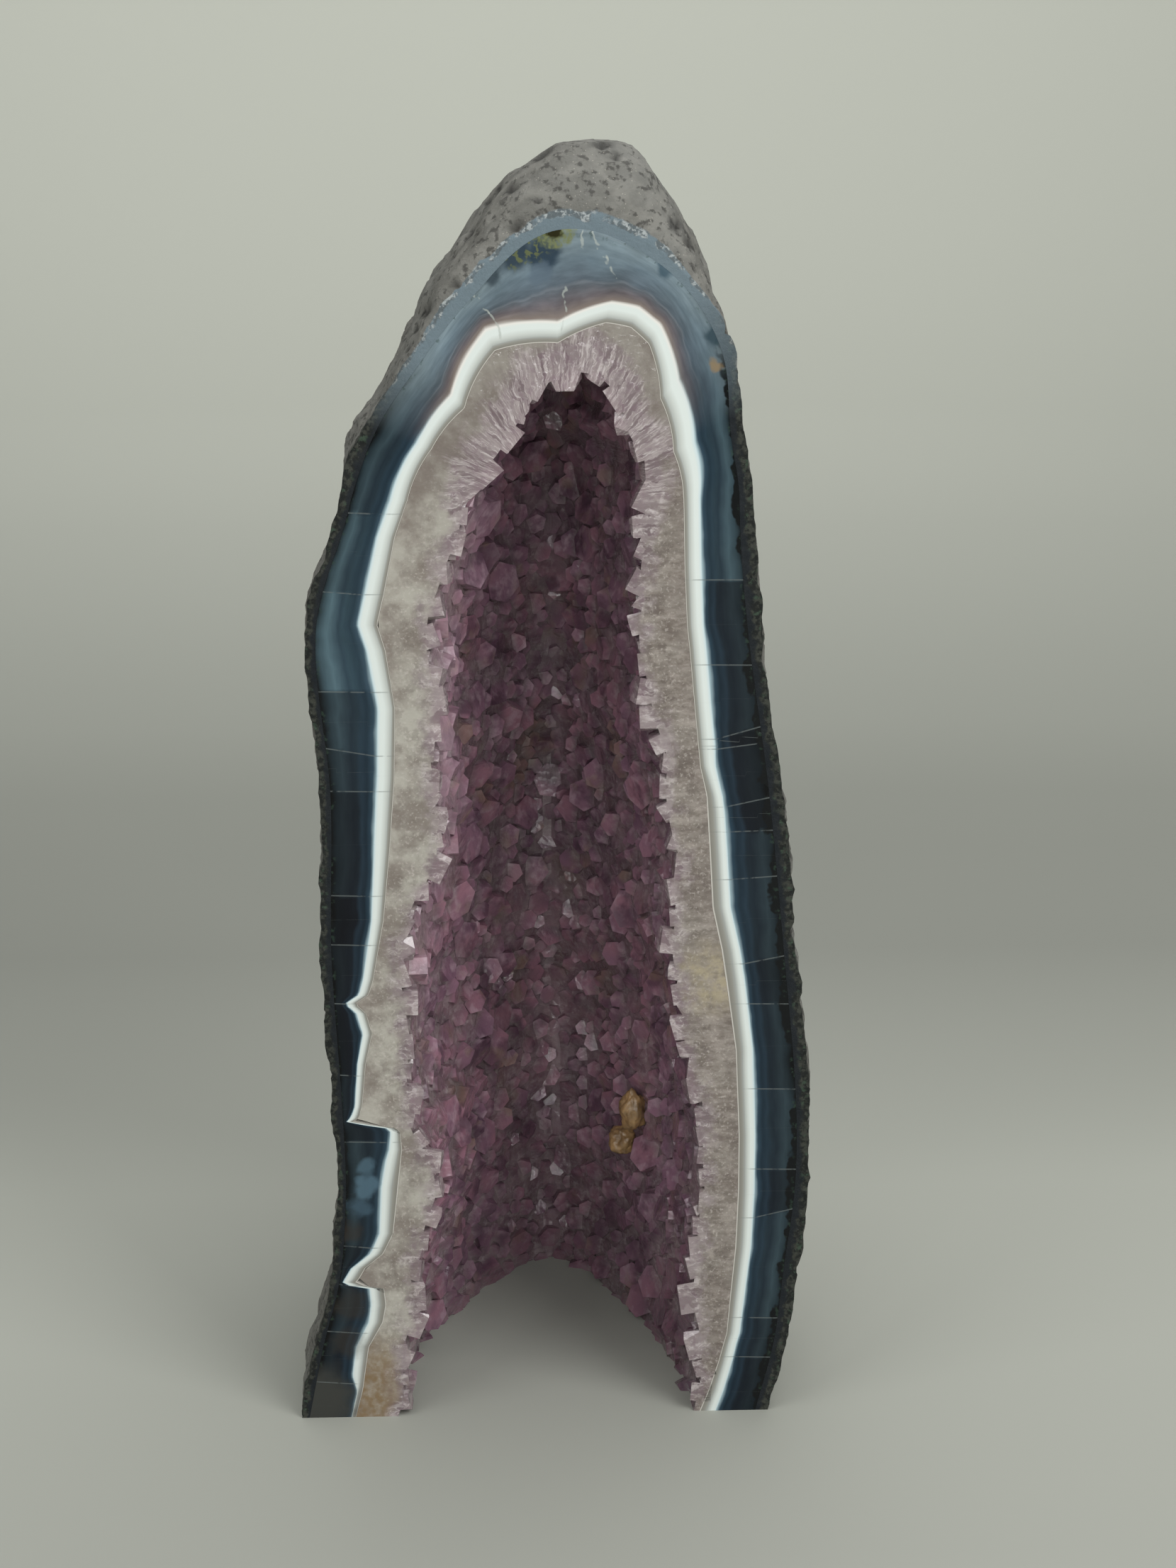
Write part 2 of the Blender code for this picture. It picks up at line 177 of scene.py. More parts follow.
# Healed cracks across the agate: height at the white band, height at the rim, tone of the stretch above
CRACKS_LEFT = (
    (-5, -5, 0.22), (12, 13, 0.1), (30, 31, 0.2), (46.8, 47.6, 0.12), (60, 61, 0.28), (96.4, 96.8, 0.1),
    (119, 119.4, 0.02), (143, 143.2, 0.06), (162.1, 162.5, 0.0), (178, 178.4, 0.1), (211.3, 211.6, 0.24),
    (222.4, 225, 0.4), (242.2, 242.6, 1.0), (272, 273, 0.7), (296, 296.5, 0.4),
)
CRACKS_RIGHT = (
    (-5, -5, 0.1), (19.4, 19, 0.22), (33.4, 33, 0.38), (68.5, 71.4, 0.12), (85.4, 85.1, 0.3),
    (112.8, 112.5, 0.2), (141.3, 141.1, 0.1), (154.5, 157, 0.24), (182, 183, 0.2), (197.3, 197.7, 0.03),
    (205.2, 208.1, 0.06), (223.5, 225.3, 0.02), (226.6, 230.4, 0.14), (249.7, 249.5, 0.14),
    (275.6, 275.5, 0.6),
)


def curve(knots, values, place):
    """Smooth curve through the values at the knots."""
    knots, values = np.asarray(knots, float), np.asarray(values, float)
    last = len(knots) - 1
    before = np.maximum(np.arange(last + 1) - 1, 0)
    after = np.minimum(np.arange(last + 1) + 1, last)
    slopes = (values[after] - values[before]) / (knots[after] - knots[before])
    i = np.clip(np.searchsorted(knots, place) - 1, 0, last - 1)
    span = knots[i + 1] - knots[i]
    t = np.clip((place - knots[i]) / span, 0, 1)
    h = 3 * t**2 - 2 * t**3
    rise = slopes[i] * (t - 2 * t**2 + t**3) + slopes[i + 1] * (t**3 - t**2)
    return values[i] * (1 - h) + values[i + 1] * h + rise * span


def rays(place):
    """Height of each ray's start on the spine, and its direction across and up."""
    angle = np.pi * (2 - np.clip(place, 1, 2))
    height = SPRING * np.minimum(np.minimum(place, 3 - place), 1)
    return height, np.cos(angle), np.sin(angle)


def depth_share(height):
    """Share of the full depth that the nodule has at a height."""
    low = 1 - SHALLOWER_BASE * ((DEEPEST - np.maximum(height, 0)) / DEEPEST) ** 2
    high = 1 - SHALLOWER_SPRING * ((height - DEEPEST) / (SPRING - DEEPEST)) ** 2
    return np.where(height < DEEPEST, low, high)


def swell_at(place):
    """How far the dome swells at a place along the edge, at most."""
    swell = curve(SWELL_ANGLES, SWELLS, 180 * (2 - np.clip(place, 1, 2)))
    return np.where((place > 1) & (place < 2), swell, 0.0)


def rind_thickness(place):
    """Thickness of the rind on the face."""
    return RIND_LEFT + (RIND_RIGHT - RIND_LEFT) * np.clip(place, 0, 3) / 3


def line_reach():
    """Places and reaches of the thin pale line round the quartz, as two lists."""
    left = [(z / SPRING, reach) for z, reach in LINE_LEFT]
    arch = [(2 - angle / 180, reach) for angle, reach in LINE_ARCH]
    right = [(3 - z / SPRING, reach) for z, reach in LINE_RIGHT]
    return zip(*(left + arch + right))


class Surface:
    """One smooth surface of the nodule: its reach on the face, its depth and its profile."""

    def __init__(self, reach, form, drawn_in=0.0, drawn_back=0.0, line=None):
        self.reach_values = reach
        self.depth, squareness, self.swell = form
        self.depth -= drawn_back
        self.power = 2 / squareness
        self.drawn_in = drawn_in
        self.line = line

    def reach(self, place, turn):
        """Reach before the profile's curve, drawn to the pale line near the face where there is one."""
        reach = curve(KNOTS, self.reach_values, place)
        if self.line:
            near = np.clip(1 - turn / LINE_FADES, 0, 1) ** 2
            reach = reach + (np.interp(place, *self.line) - reach) * near
        inner = self.drawn_in(place) if callable(self.drawn_in) else self.drawn_in
        return reach - inner

    def points(self, place, turn):
        """Points of the surface: turn 0 is on the face, 1 on the spine, below 0 in front of the face."""
        place, turn = np.broadcast_arrays(np.asarray(place, float), np.asarray(turn, float))
        start, across, up = rays(place)
        angle = np.pi / 2 * np.clip(turn, 0, 1)
        out = np.maximum(np.cos(angle), 0) ** self.power
        back = np.sin(angle) ** self.power
        reach = self.reach(place, turn) * out
        reach = reach + self.swell * swell_at(place) * np.sin(np.pi * back**SWELL_PEAK)
        z = start + up * reach
        y = np.where(turn >= 0, self.depth * depth_share(z) * back, turn * MARGIN)
        return np.stack([SPINE_X + across * reach, y, z], -1)

    def inward(self, place, turn, step=0.004):
        """Directions from the surface into the hollow."""
        along = self.points(place + step, turn) - self.points(place - step, turn)
        deeper = self.points(place, np.minimum(turn + step, 1))
        deeper = deeper - self.points(place, np.minimum(turn, 1 - step))
        cross = np.cross(deeper, along)
        return cross / np.linalg.norm(cross, axis=-1, keepdims=True)


PALE_LINE = [list(values) for values in line_reach()]
ROCK = Surface(ROCK_REACH, ROCK_FORM)
ROCK_INSIDE = Surface(ROCK_REACH, ROCK_FORM, rind_thickness, RIND_BACK)


def in_frame(points):
    """Points in the profile's millimetres as metres in the frame."""
    return (np.asarray(points) + TO_FRAME) * MM


def on_face(x, z, y=0.0):
    """A place given from the spine and the base, in millimetres, as a point in the frame."""
    return tuple(in_frame((x + SPINE_X, y, z)))


def places_of(points):
    """Place along the edge of points in the profile's millimetres."""
    across, up = points[:, 0] - SPINE_X, points[:, 2] - SPRING
    angle = np.arctan2(np.maximum(up, 0), across)
    side = np.clip(points[:, 2], 0, SPRING) / SPRING
    return np.where(up > 0, 2 - angle / np.pi, np.where(across < 0, side, 3 - side))


def distances(points):
    """Distance along a row of points from the first to each."""
    steps = np.linalg.norm(np.diff(points, axis=0), axis=1)
    return np.concatenate(([0.0], np.cumsum(steps)))


def even_places(count):
    """Places nearly evenly spaced along the rock's edge, at equal heights left and right of the spine."""
    fine = np.linspace(1, 2, EDGE_SAMPLES)
    lengths = distances(ROCK.points(fine, 0.0))
    side = round(count * SPRING / (2 * SPRING + lengths[-1]))
    up = np.linspace(0, 1, side)
    over = np.interp(np.linspace(0, lengths[-1], count - 2 * side + 2), lengths, fine)[1:-1]
    return np.concatenate([up, over, (3 - up)[::-1]])


def even_turns(surface, count):
    """Turns evenly spaced by distance from the face to the spine."""
    fine = np.linspace(0, 1, TURN_SAMPLES)
    lengths = distances(surface.points(0.5, fine))
    return np.interp(np.linspace(0, lengths[-1], count), lengths, fine)


def only(piece):
    """Makes a piece the only one selected, and active."""
    bpy.ops.object.select_all(action="DESELECT")
    piece.select_set(True)
    bpy.context.view_layer.objects.active = piece


def edit(kind):
    """Opens the active piece for editing by its vertices, edges or faces."""
    bpy.ops.object.mode_set(mode="EDIT")
    bpy.ops.mesh.select_mode(type=kind)


def stop_editing():
    """Goes back from editing to whole pieces."""
    bpy.ops.object.mode_set(mode="OBJECT")


def face_outwards():
    """Points the faces of the piece being edited outwards, which ends the editing."""
    bpy.ops.mesh.select_all(action="SELECT")
    bpy.ops.mesh.normals_make_consistent(inside=False)
    stop_editing()


def lay_sheet(name, points, **values):
    """A grid primitive with one column per place, bent to the points, with values kept at them."""
    columns, rows = points.shape[:2]
    bpy.ops.mesh.primitive_grid_add(x_subdivisions=columns - 1, y_subdivisions=rows - 1, size=2)
    piece = bpy.context.object
    piece.name = piece.data.name = name
    flat = coordinates(piece)
    column = np.rint((flat[:, 0] + 1) / 2 * (columns - 1)).astype(int)
    row = np.rint((flat[:, 1] + 1) / 2 * (rows - 1)).astype(int)
    piece.data.vertices.foreach_set("co", in_frame(points[column, row]).astype(np.float32).ravel())
    for label, table in values.items():
        keep(piece, label, table[column, row])
    return piece


def coordinates(piece):
    """The mesh's vertices as an array of points."""
    flat = np.empty(len(piece.data.vertices) * 3, np.float32)
    piece.data.vertices.foreach_get("co", flat)
    return flat.reshape(-1, 3)


def keep(piece, label, values):
    """Stores one number for each vertex, for the material to read."""
    attribute = piece.data.attributes.new(label, "FLOAT", "POINT")
    attribute.data.foreach_set("value", np.asarray(values, np.float32))


def close_sheet(piece):
    """Merges the seam at the spine, fills the flat end and points the faces outwards."""
    only(piece)
    edit("VERT")
    bpy.ops.mesh.select_all(action="SELECT")
    bpy.ops.mesh.remove_doubles(threshold=SEAM_WIDTH)
    bpy.ops.mesh.select_all(action="DESELECT")
    bpy.ops.mesh.select_non_manifold()
    bpy.ops.mesh.edge_face_add()
    face_outwards()
    if volume_of(piece) < 0:
        bpy.ops.object.mode_set(mode="EDIT")
        bpy.ops.mesh.flip_normals()
        stop_editing()


def volume_of(piece):
    """Volume inside a closed mesh, negative where its faces point inwards."""
    points = coordinates(piece).astype(float)
    piece.data.calc_loop_triangles()
    corners = np.empty(len(piece.data.loop_triangles) * 3, np.int32)
    piece.data.loop_triangles.foreach_get("vertices", corners)
    one, two, three = points[corners].reshape(-1, 3, 3).transpose(1, 0, 2)
    return (one * np.cross(two, three)).sum() / 6


def settle(piece, material, slot, *nodes):
    """Gives a finished piece its material and ties it to the frame."""
    piece.data.materials.clear()
    piece.data.materials.append(material)
    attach(piece, "root")
    if nodes:
        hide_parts(*nodes)


def boolean(piece, tool, operation):
    """Joins a tool to a piece or cuts it with the tool, which is used up."""
    modifier = piece.modifiers.new("Boolean", "BOOLEAN")
    modifier.operation = operation
    modifier.solver = "MANIFOLD"
    modifier.object = tool
    only(piece)
    bpy.ops.object.modifier_apply(modifier=modifier.name)
    bpy.data.objects.remove(tool)


def rgb(red, green, blue):
    """A colour as seen on a screen, 0 to 255, as the linear colour that a shader takes."""
    channels = [value / 255 for value in (red, green, blue)]
    return tuple(c / 12.92 if c < 0.04045 else ((c + 0.055) / 1.055) ** 2.4 for c in channels) + (1.0,)


class Finish:
    """One material, whose nodes are added and linked by name."""

    def __init__(self, name, roughness):
        self.material = bpy.data.materials.new(name)
        self.material.use_nodes = True
        self.nodes = self.material.node_tree.nodes
        self.links = self.material.node_tree.links
        self.shader = self.nodes["Principled BSDF"]
        self.shader.inputs["Roughness"].default_value = roughness
        self.place = self.nodes.new("ShaderNodeTexCoord").outputs["Object"]

    def add(self, kind, inputs, **settings):
        """A node with its settings, and its inputs linked or given."""
        node = self.nodes.new(kind)
        for label, value in settings.items():
            setattr(node, label, value)
        for label, value in inputs.items():
            self.feed(node.inputs[label], value)
        return node

    def feed(self, socket, value):
        """Links a socket, or sets its value."""
        if isinstance(value, bpy.types.NodeSocket):
            self.links.new(value, socket)
        else:
            socket.default_value = value

    def set(self, **inputs):
        """Feeds the shader's own sockets."""
        for label, value in inputs.items():
            self.feed(self.shader.inputs[label.replace("_", " ")], value)

    def kept(self, label):
        """A number stored at the vertices."""
        return self.add("ShaderNodeAttribute", {}, attribute_name=label).outputs["Fac"]

    def sum(self, operation, first, second=0.0):
        """One sum of two numbers."""
        return self.add("ShaderNodeMath", {0: first, 1: second}, operation=operation).outputs[0]

    def times(self, first, second):
        """One number multiplied by another."""
        return self.sum("MULTIPLY", first, second)

    def plus(self, first, second):
        """One number added to another."""
        return self.sum("ADD", first, second)

    def less(self, first, second):
        """One number less another."""
        return self.sum("SUBTRACT", first, second)

    def vector(self, operation, first, second, output="Vector"):
        """One sum of vectors."""
        inputs = {0: first, "Scale" if operation == "SCALE" else 1: second}
        return self.add("ShaderNodeVectorMath", inputs, operation=operation).outputs[output]

    def joined(self, x, y, z=0.0):
        """A vector from three numbers."""
        return self.add("ShaderNodeCombineXYZ", {0: x, 1: y, 2: z}).outputs[0]

    def cloud(self, size, detail=3.0, vector=None, rough=0.55):
        """Noise whose patches are about a size in millimetres."""
        inputs = {"Vector": vector or self.place, "Scale": 1 / (size * MM)}
        inputs.update({"Detail": detail, "Roughness": rough})
        return self.add("ShaderNodeTexNoise", inputs).outputs["Fac"]

    def cells(self, size, vector=None, output="Distance"):
        """Distance to the nearest of scattered points."""
        inputs = {"Vector": vector or self.place, "Scale": 1 / (size * MM)}
        return self.add("ShaderNodeTexVoronoi", inputs).outputs[output]

    def step(self, value, low, high, first=0.0, last=1.0):
        """A soft step from one number to another."""
        labels = ("Value", "From Min", "From Max", "To Min", "To Max")
        inputs = dict(zip(labels, (value, low, high, first, last)))
        return self.add("ShaderNodeMapRange", inputs, interpolation_type="SMOOTHSTEP").outputs[0]

    def veil(self, base, *layers):
        """Lays colours over one another, each where a number passes from low to high."""
        for colour, value, low, high, *most in layers:
            base = self.mix(self.step(value, low, high, 0, *most), base, colour)
        return base

    def mix(self, share, first, second, blend="MIX"):
        """Mixes two colours."""
        node = self.add(
            "ShaderNodeMix", {0: share, 6: first, 7: second}, data_type="RGBA", blend_type=blend
        )
        return node.outputs[2]

    def ramp(self, value, stops):
        """Colours along a number from 0 to 1."""
        node = self.add("ShaderNodeValToRGB", {0: value})
        elements = node.color_ramp.elements
        while len(elements) < len(stops):
            elements.new(0.5)
        for element, (position, colour) in zip(elements, stops):
            element.position = position
        for element, (position, colour) in zip(elements, stops):
            element.color = colour
        return node.outputs[0]

    def distance(self, centre, wobble=None):
        """Distance in millimetres from a point of the frame, or of wobbled coordinates."""
        return self.sum("DIVIDE", self.vector("DISTANCE", wobble or self.place, centre, "Value"), MM)

    def bump(self, height, strength, distance):
        """A bump in the surface, its depth in millimetres."""
        inputs = {"Height": height, "Strength": strength, "Distance": distance * MM}
        return self.add("ShaderNodeBump", inputs).outputs[0]


def size_setting(name, description, default):
    """A setting in metres."""
    return bpy.props.FloatProperty(
        name=name, description=description, default=default, subtype="DISTANCE", unit="LENGTH"
    )


def colour_setting(name, description, colour):
    """A setting that holds a colour."""
    return bpy.props.FloatVectorProperty(
        name=name, description=description, default=colour[:3], subtype="COLOR"
    )


class RindSettings(bpy.types.PropertyGroup):
    """The basalt rind."""

    lump: size_setting("Lump", "Height of the rock's lumps", 0.0046)
    pits: bpy.props.IntProperty(name="Pits", description="How many open bubbles show", default=900, min=0)
    pit_size: size_setting("Pit size", "Radius of the largest bubbles", 0.0026)
    colour: colour_setting("Rock", "Colour of the bare basalt", rgb(104, 104, 100))


class AgateSettings(bpy.types.PropertyGroup):
    """The polished agate."""

    polish: bpy.props.FloatProperty(
        name="Polish", description="Roughness of the polished face", default=0.12, min=0, max=1,
        subtype="FACTOR"
    )
    white: colour_setting("White band", "Colour of the white band", rgb(202, 209, 205))


class CrystalSettings(bpy.types.PropertyGroup):
    """The quartz crust and its crystals."""

    largest: size_setting("Largest", "Radius of the largest crystals", 0.0074)
    smallest: size_setting("Smallest", "Radius of the smallest crystals", 0.0028)
    tilt: bpy.props.FloatProperty(
        name="Tilt", description="Greatest lean of a crystal", default=math.radians(27), subtype="ANGLE"
    )
    absorption: bpy.props.FloatProperty(
        name="Absorption", description="How fast light fades inside the crystals", default=90.0, min=0
    )
    seed: bpy.props.IntProperty(name="Seed", description="Another seed grows other crystals", default=41)


class StageSettings(bpy.types.PropertyGroup):
    """The floor and the light."""

    floor: colour_setting("Floor", "Colour of the floor", rgb(188, 190, 180))
    light: bpy.props.FloatProperty(
        name="Light", description="Share of the lamps' power", default=1.0, min=0
    )


# The rind's mesh and the finer forms of its skin, in millimetres
RIND_COLUMNS = 460
RIND_ROWS = 150
RIND_RIM_ROWS = 3
INNER_ROWS = 10
LUMP_SIZE = 25.0
PIT = 2.0
PIT_SIZE = 11.0
LUMP_LOWEST = -1.2
FACE_LUMPS = 0.3
LUMP_RISE = 40.0
RIM_WIDTH = 9.0
TOP_RIM_WIDTH = 1.4
GRAIN = ((6.5, 0.9), (2.6, 0.42), (1.3, 0.2))
PIT_SEED = 7
PIT_SMALLEST = 0.35
PIT_STRETCH = (1.2, 2.4)
PIT_DEPTH = 0.75
RIND_SMOOTH = math.radians(48)


def rock_outward(points, place, on_rim):
    """Directions in which the rock's lumps stand out."""
    start, _, _ = rays(place)
    back = np.maximum(points[..., 1] - ROCK_FORM[0] / 3, 0)
    outward = np.stack([points[..., 0] - SPINE_X, back, points[..., 2] - start], -1)
    outward[on_rim, 1] = 0.0
    return outward / np.maximum(np.linalg.norm(outward, axis=-1, keepdims=True), 1e-6)


def rock_relief(point, lump):
    """Height of the rock's lumps, hollows and grain at a point, low at the face and full behind it."""
    coarse = lump * noise.noise(point / LUMP_SIZE) + PIT * noise.noise(point / PIT_SIZE)
    fine = sum(height * noise.noise(point / size) for size, height in GRAIN)
    share = FACE_LUMPS + (1 - FACE_LUMPS) * min(point.y / LUMP_RISE, 1)
    return max(coarse, LUMP_LOWEST) * share + fine


def open_bubbles(skin, count, largest, chance):
    """Depth of the open bubbles at each point of the skin, and how much each is in one."""
    tree = KDTree(len(skin))
    for index, point in enumerate(skin):
        tree.insert(point, index)
    tree.balance()
    depth, inside = np.zeros(len(skin)), np.zeros(len(skin))
    for _ in range(count):
        centre = skin[chance.randrange(len(skin))]
        radius = largest * chance.uniform(PIT_SMALLEST, 1) ** 1.6
        stretch = chance.uniform(*PIT_STRETCH)
        for point, index, away in tree.find_range(centre, radius * stretch):
            offset = Vector(point) - Vector(centre)
            share = math.hypot(offset.z, math.hypot(offset.x, offset.y) / stretch) / radius
            if share < 1:
                depth[index] = max(depth[index], PIT_DEPTH * radius * (1 - share**2) ** 1.2)
                inside[index] = max(inside[index], 1 - share**3)
    return depth, inside


def basalt():
    """Rough grey basalt: painted shade in its bubbles, greenish black at the sawn rim, a painted highlight
    along the top of the rim.
    """
    settings = bpy.context.scene.geode_rind
    finish = Finish("basalt", 0.86)
    rock = (*settings.colour, 1.0)
    tint = finish.veil(
        rock,
        (rgb(96, 95, 90), finish.cloud(42), 0.35, 0.65),
        (rgb(126, 125, 119), finish.cloud(7, 5), 0.4, 0.66, 0.55),
        (rgb(58, 57, 54), finish.cloud(2.2, 4), 0.53, 0.66, 0.8),
        (rgb(176, 172, 160), finish.cells(1.5), 0.16, 0.06, 0.45),
    )
    # Painted shade: the open bubbles darkened towards near black.
    tint = finish.mix(finish.times(finish.kept("pit"), 0.85), tint, rgb(34, 33, 31))
    edge = finish.plus(finish.kept("rim"), finish.step(finish.cloud(5, 4), 0.2, 0.8, -0.35, 0.35))
    edge = finish.step(finish.less(edge, finish.times(finish.kept("top"), 0.4)), 0.35, 0.75)
    across = finish.plus(finish.kept("across"), finish.step(finish.cloud(4, 4), 0.3, 0.7, -0.2, 0.2))
    pale = finish.veil(
        rgb(20, 23, 21),
        (rgb(52, 54, 48), finish.cloud(1.6, 4), 0.42, 0.62),
        (rgb(52, 66, 54), finish.cloud(2.4, 5), 0.55, 0.7),
        (rgb(128, 134, 128), finish.cells(0.9), 0.12, 0.04, 0.5),
        (rgb(20, 25, 29), across, 0.4, 0.75),
    )
    # Painted highlight: a pale glinting line at the outer edge of the rim along the top, the agate's
    # grey-blue further in.
    glint = finish.veil(
        rgb(84, 92, 95),
        (rgb(150, 156, 156), finish.cloud(1.2, 4), 0.46, 0.62),
        (rgb(100, 114, 121), across, -0.05, 0.15),
    )
    pale = finish.mix(finish.kept("top"), pale, glint)
    finish.set(Base_Color=finish.mix(edge, tint, pale), Specular_IOR_Level=0.3)
    grit = finish.plus(finish.cloud(1.1, 6, rough=0.7), finish.cloud(4, 3))
    finish.set(Normal=finish.bump(grit, 0.55, 0.8))
    finish.set(Roughness=finish.step(finish.cloud(3), 0.3, 0.7, 0.74, 0.94))
    return finish.material


class GEODE_OT_rind(bpy.types.Operator):
    """Model the basalt rind round the agate"""

    bl_idname = "geode.rind"
    bl_label = "Basalt rind"

    def execute(self, context):
        settings = context.scene.geode_rind
        places = even_places(RIND_COLUMNS)[:, None]
        outer_turns = even_turns(ROCK, RIND_ROWS)[::-1]
        skin = ROCK.points(places, outer_turns[None, :])
        on_rim = np.zeros(skin.shape[:2], bool)
        on_rim[:, -1] = True
        outward = rock_outward(skin, places, on_rim)
        chance = random.Random(PIT_SEED)
        flat = skin.reshape(-1, 3)
        lump = settings.lump / MM
        relief = np.array([rock_relief(Vector(point), lump) for point in flat])
        pit_depth, pit = open_bubbles(flat, settings.pits, settings.pit_size / MM, chance)
        skin = skin + outward * (relief - pit_depth).reshape(skin.shape[:2])[..., None]
        inner_turns = even_turns(ROCK_INSIDE, INNER_ROWS)
        inner = ROCK_INSIDE.points(places, inner_turns[None, :])
        shares = np.linspace(0, 1, RIND_RIM_ROWS + 2)[1:-1, None]
        rim = [skin[:, -1:] * (1 - share) + inner[:, :1] * share for share in shares]
        points = np.concatenate([skin, *rim, inner], axis=1)
        low, high = (np.array(corner) / MM - TO_FRAME for corner in CAD_BOX)
        points = np.clip(points, low, high)
        pits = np.zeros(points.shape[:2])
        pits[:, :RIND_ROWS] = pit.reshape(skin.shape[:2])
        steps = np.linalg.norm(np.diff(points[:, :RIND_ROWS], axis=1), axis=-1)
        walked = steps[:, ::-1].cumsum(1)[:, ::-1]
        top = np.broadcast_to(np.interp(places, *TOP_FADE), points.shape[:2])
        near_face = np.full(points.shape[:2], 2.0)
        width = RIM_WIDTH + (TOP_RIM_WIDTH - RIM_WIDTH) * top[:, :RIND_ROWS - 1]
        near_face[:, :RIND_ROWS - 1] = np.clip(1 - walked / width, 0, 1)
        across = np.ones(points.shape[:2])
        across[:, :RIND_ROWS] = 0.0
        across[:, RIND_ROWS:RIND_ROWS + RIND_RIM_ROWS] = shares[:, 0]
        piece = lay_sheet("basalt_rind_rough", points, pit=pits, rim=near_face, top=top, across=across)
        close_sheet(piece)
        bpy.ops.object.shade_smooth_by_angle(angle=RIND_SMOOTH)
        settle(piece, basalt(), "basalt", "basalt_rind")
        return {"FINISHED"}


# The agate's mesh: columns along the edge, rows across each part of the face and behind it
AGATE_COLUMNS = 680
AGATE_BACK_ROWS = 9
FACE_ROWS = (5, 8, 22)
FINE_GAP = 0.04
AGATE_SMOOTH = math.radians(40)
NO_CRACK = 99.0
BAND = Surface(BAND_REACH, BAND_FORM, line=PALE_LINE)


def crack_values(place, share):
    """Distance to the nearest crack above or below, and the tone of the stretch, for points of the face."""
    side = np.where(place <= 1.5, 0, 1)
    height = SPRING * np.minimum(place, 3 - place)
    nearest, tone = np.full(place.shape, NO_CRACK), np.zeros(place.shape)
    for number, cracks in enumerate((CRACKS_LEFT, CRACKS_RIGHT)):
        here = side == number
        for inner, outer, level in cracks:
            away = height - (inner + (outer - inner) * share)
            nearest = np.where(here & (abs(away) < abs(nearest)), away, nearest)
            tone = np.where(here & (away > 0), level, tone)
    return nearest, tone


def agate():
    """Polished agate: bands that follow the edge, cracks across them, moss at the top."""
    settings = bpy.context.scene.geode_agate
    finish = Finish("agate", settings.polish)
    white = (*settings.white, 1.0)
    band, along = finish.kept("band"), finish.kept("along")
    tone, crack, top = finish.kept("tone"), finish.kept("crack"), finish.kept("top")
    sway = finish.step(finish.cloud(16, 2), 0.2, 0.8, -0.1, 0.1)
    drift = finish.times(sway, finish.step(band, 1.6, 2.6))
    level = finish.sum("DIVIDE", finish.plus(band, drift), 3)
    inside = (
        (0.0, rgb(178, 174, 166)), (0.025, rgb(186, 183, 176)), (0.06, rgb(120, 118, 110)),
        (0.2, rgb(134, 133, 126)), (0.3, rgb(148, 151, 147)), (0.4, rgb(184, 189, 184)), (0.49, white),
        (0.57, white), (0.625, rgb(190, 204, 206)), (0.655, rgb(146, 167, 174)),
    )
    dark = finish.ramp(level, (
        *inside, (0.685, rgb(38, 56, 68)), (0.72, rgb(22, 33, 42)), (0.76, rgb(30, 42, 52)),
        (0.79, rgb(18, 22, 28)), (0.88, rgb(15, 17, 22)), (0.96, rgb(14, 18, 22)), (1.0, rgb(9, 10, 11)),
    ))
    blue = finish.ramp(level, (
        *inside, (0.685, rgb(54, 72, 84)), (0.73, rgb(38, 54, 64)), (0.79, rgb(48, 66, 75)),
        (0.82, rgb(44, 60, 70)), (0.9, rgb(76, 97, 105)), (0.955, rgb(56, 73, 80)), (1.0, rgb(18, 22, 24)),
    ))
    high = finish.ramp(level, (
        *inside[:-2], (0.62, rgb(212, 210, 204)), (0.675, rgb(118, 108, 102)), (0.72, rgb(94, 88, 90)),
        (0.77, rgb(84, 89, 94)), (0.775, rgb(98, 103, 108)), (0.79, rgb(80, 89, 96)),
        (0.88, rgb(97, 111, 119)), (0.97, rgb(112, 126, 132)), (1.0, rgb(106, 119, 124)),
    ))
    body = finish.mix(tone, dark, blue)
    body = finish.mix(top, body, high)
    stretched = finish.joined(finish.times(along, 0.00012), finish.times(band, 0.012))
    fine_bands = finish.ramp(
        finish.cloud(1.0, 3, stretched), ((0.3, rgb(120, 120, 120)), (0.7, rgb(215, 215, 215)))
    )
    outside = finish.step(band, 1.98, 2.12)
    strength = finish.times(outside, finish.step(top, 0, 1, 0.16, 0.4))
    body = finish.mix(strength, body, fine_bands, "SOFT_LIGHT")
    cloudy = finish.ramp(finish.cloud(20, 3), ((0.3, rgb(150, 146, 140)), (0.7, rgb(225, 232, 240))))
    body = finish.mix(strength, body, cloudy, "SOFT_LIGHT")
    scallop = finish.less(band, finish.step(finish.cloud(9, 3), 0.3, 0.7, 0.0, 0.3))
    scallop = finish.plus(scallop, finish.step(along, 400, 560, -0.17, 0.0))
    edge = finish.times(finish.step(scallop, 2.72, 2.78), finish.step(top, 0.25, 0.8, 1.0, 0.0))
    body = finish.mix(edge, body, rgb(17, 19, 20))
    fleck = finish.times(finish.step(finish.cloud(1.8, 4), 0.56, 0.66), finish.step(band, 2.86, 2.96))
    body = finish.mix(finish.times(fleck, 0.5), body, rgb(46, 62, 52))
    body = moss_and_marks(finish, body)
    line = finish.step(finish.sum("ABSOLUTE", crack), 0.28, 0.1)
    broken = finish.step(finish.cloud(3.2, 3), 0.34, 0.52)
    line = finish.times(finish.times(line, broken), finish.step(band, 0.4, 2.1, 0.15, 0.55))
    body = finish.mix(line, body, rgb(98, 104, 103))
    finish.set(Base_Color=body, IOR=1.54, Specular_IOR_Level=0.14)
    skin = finish.less(finish.cloud(9, 2), finish.times(line, 0.6))
    finish.set(Normal=finish.bump(skin, 0.12, 0.5))
    return finish.material


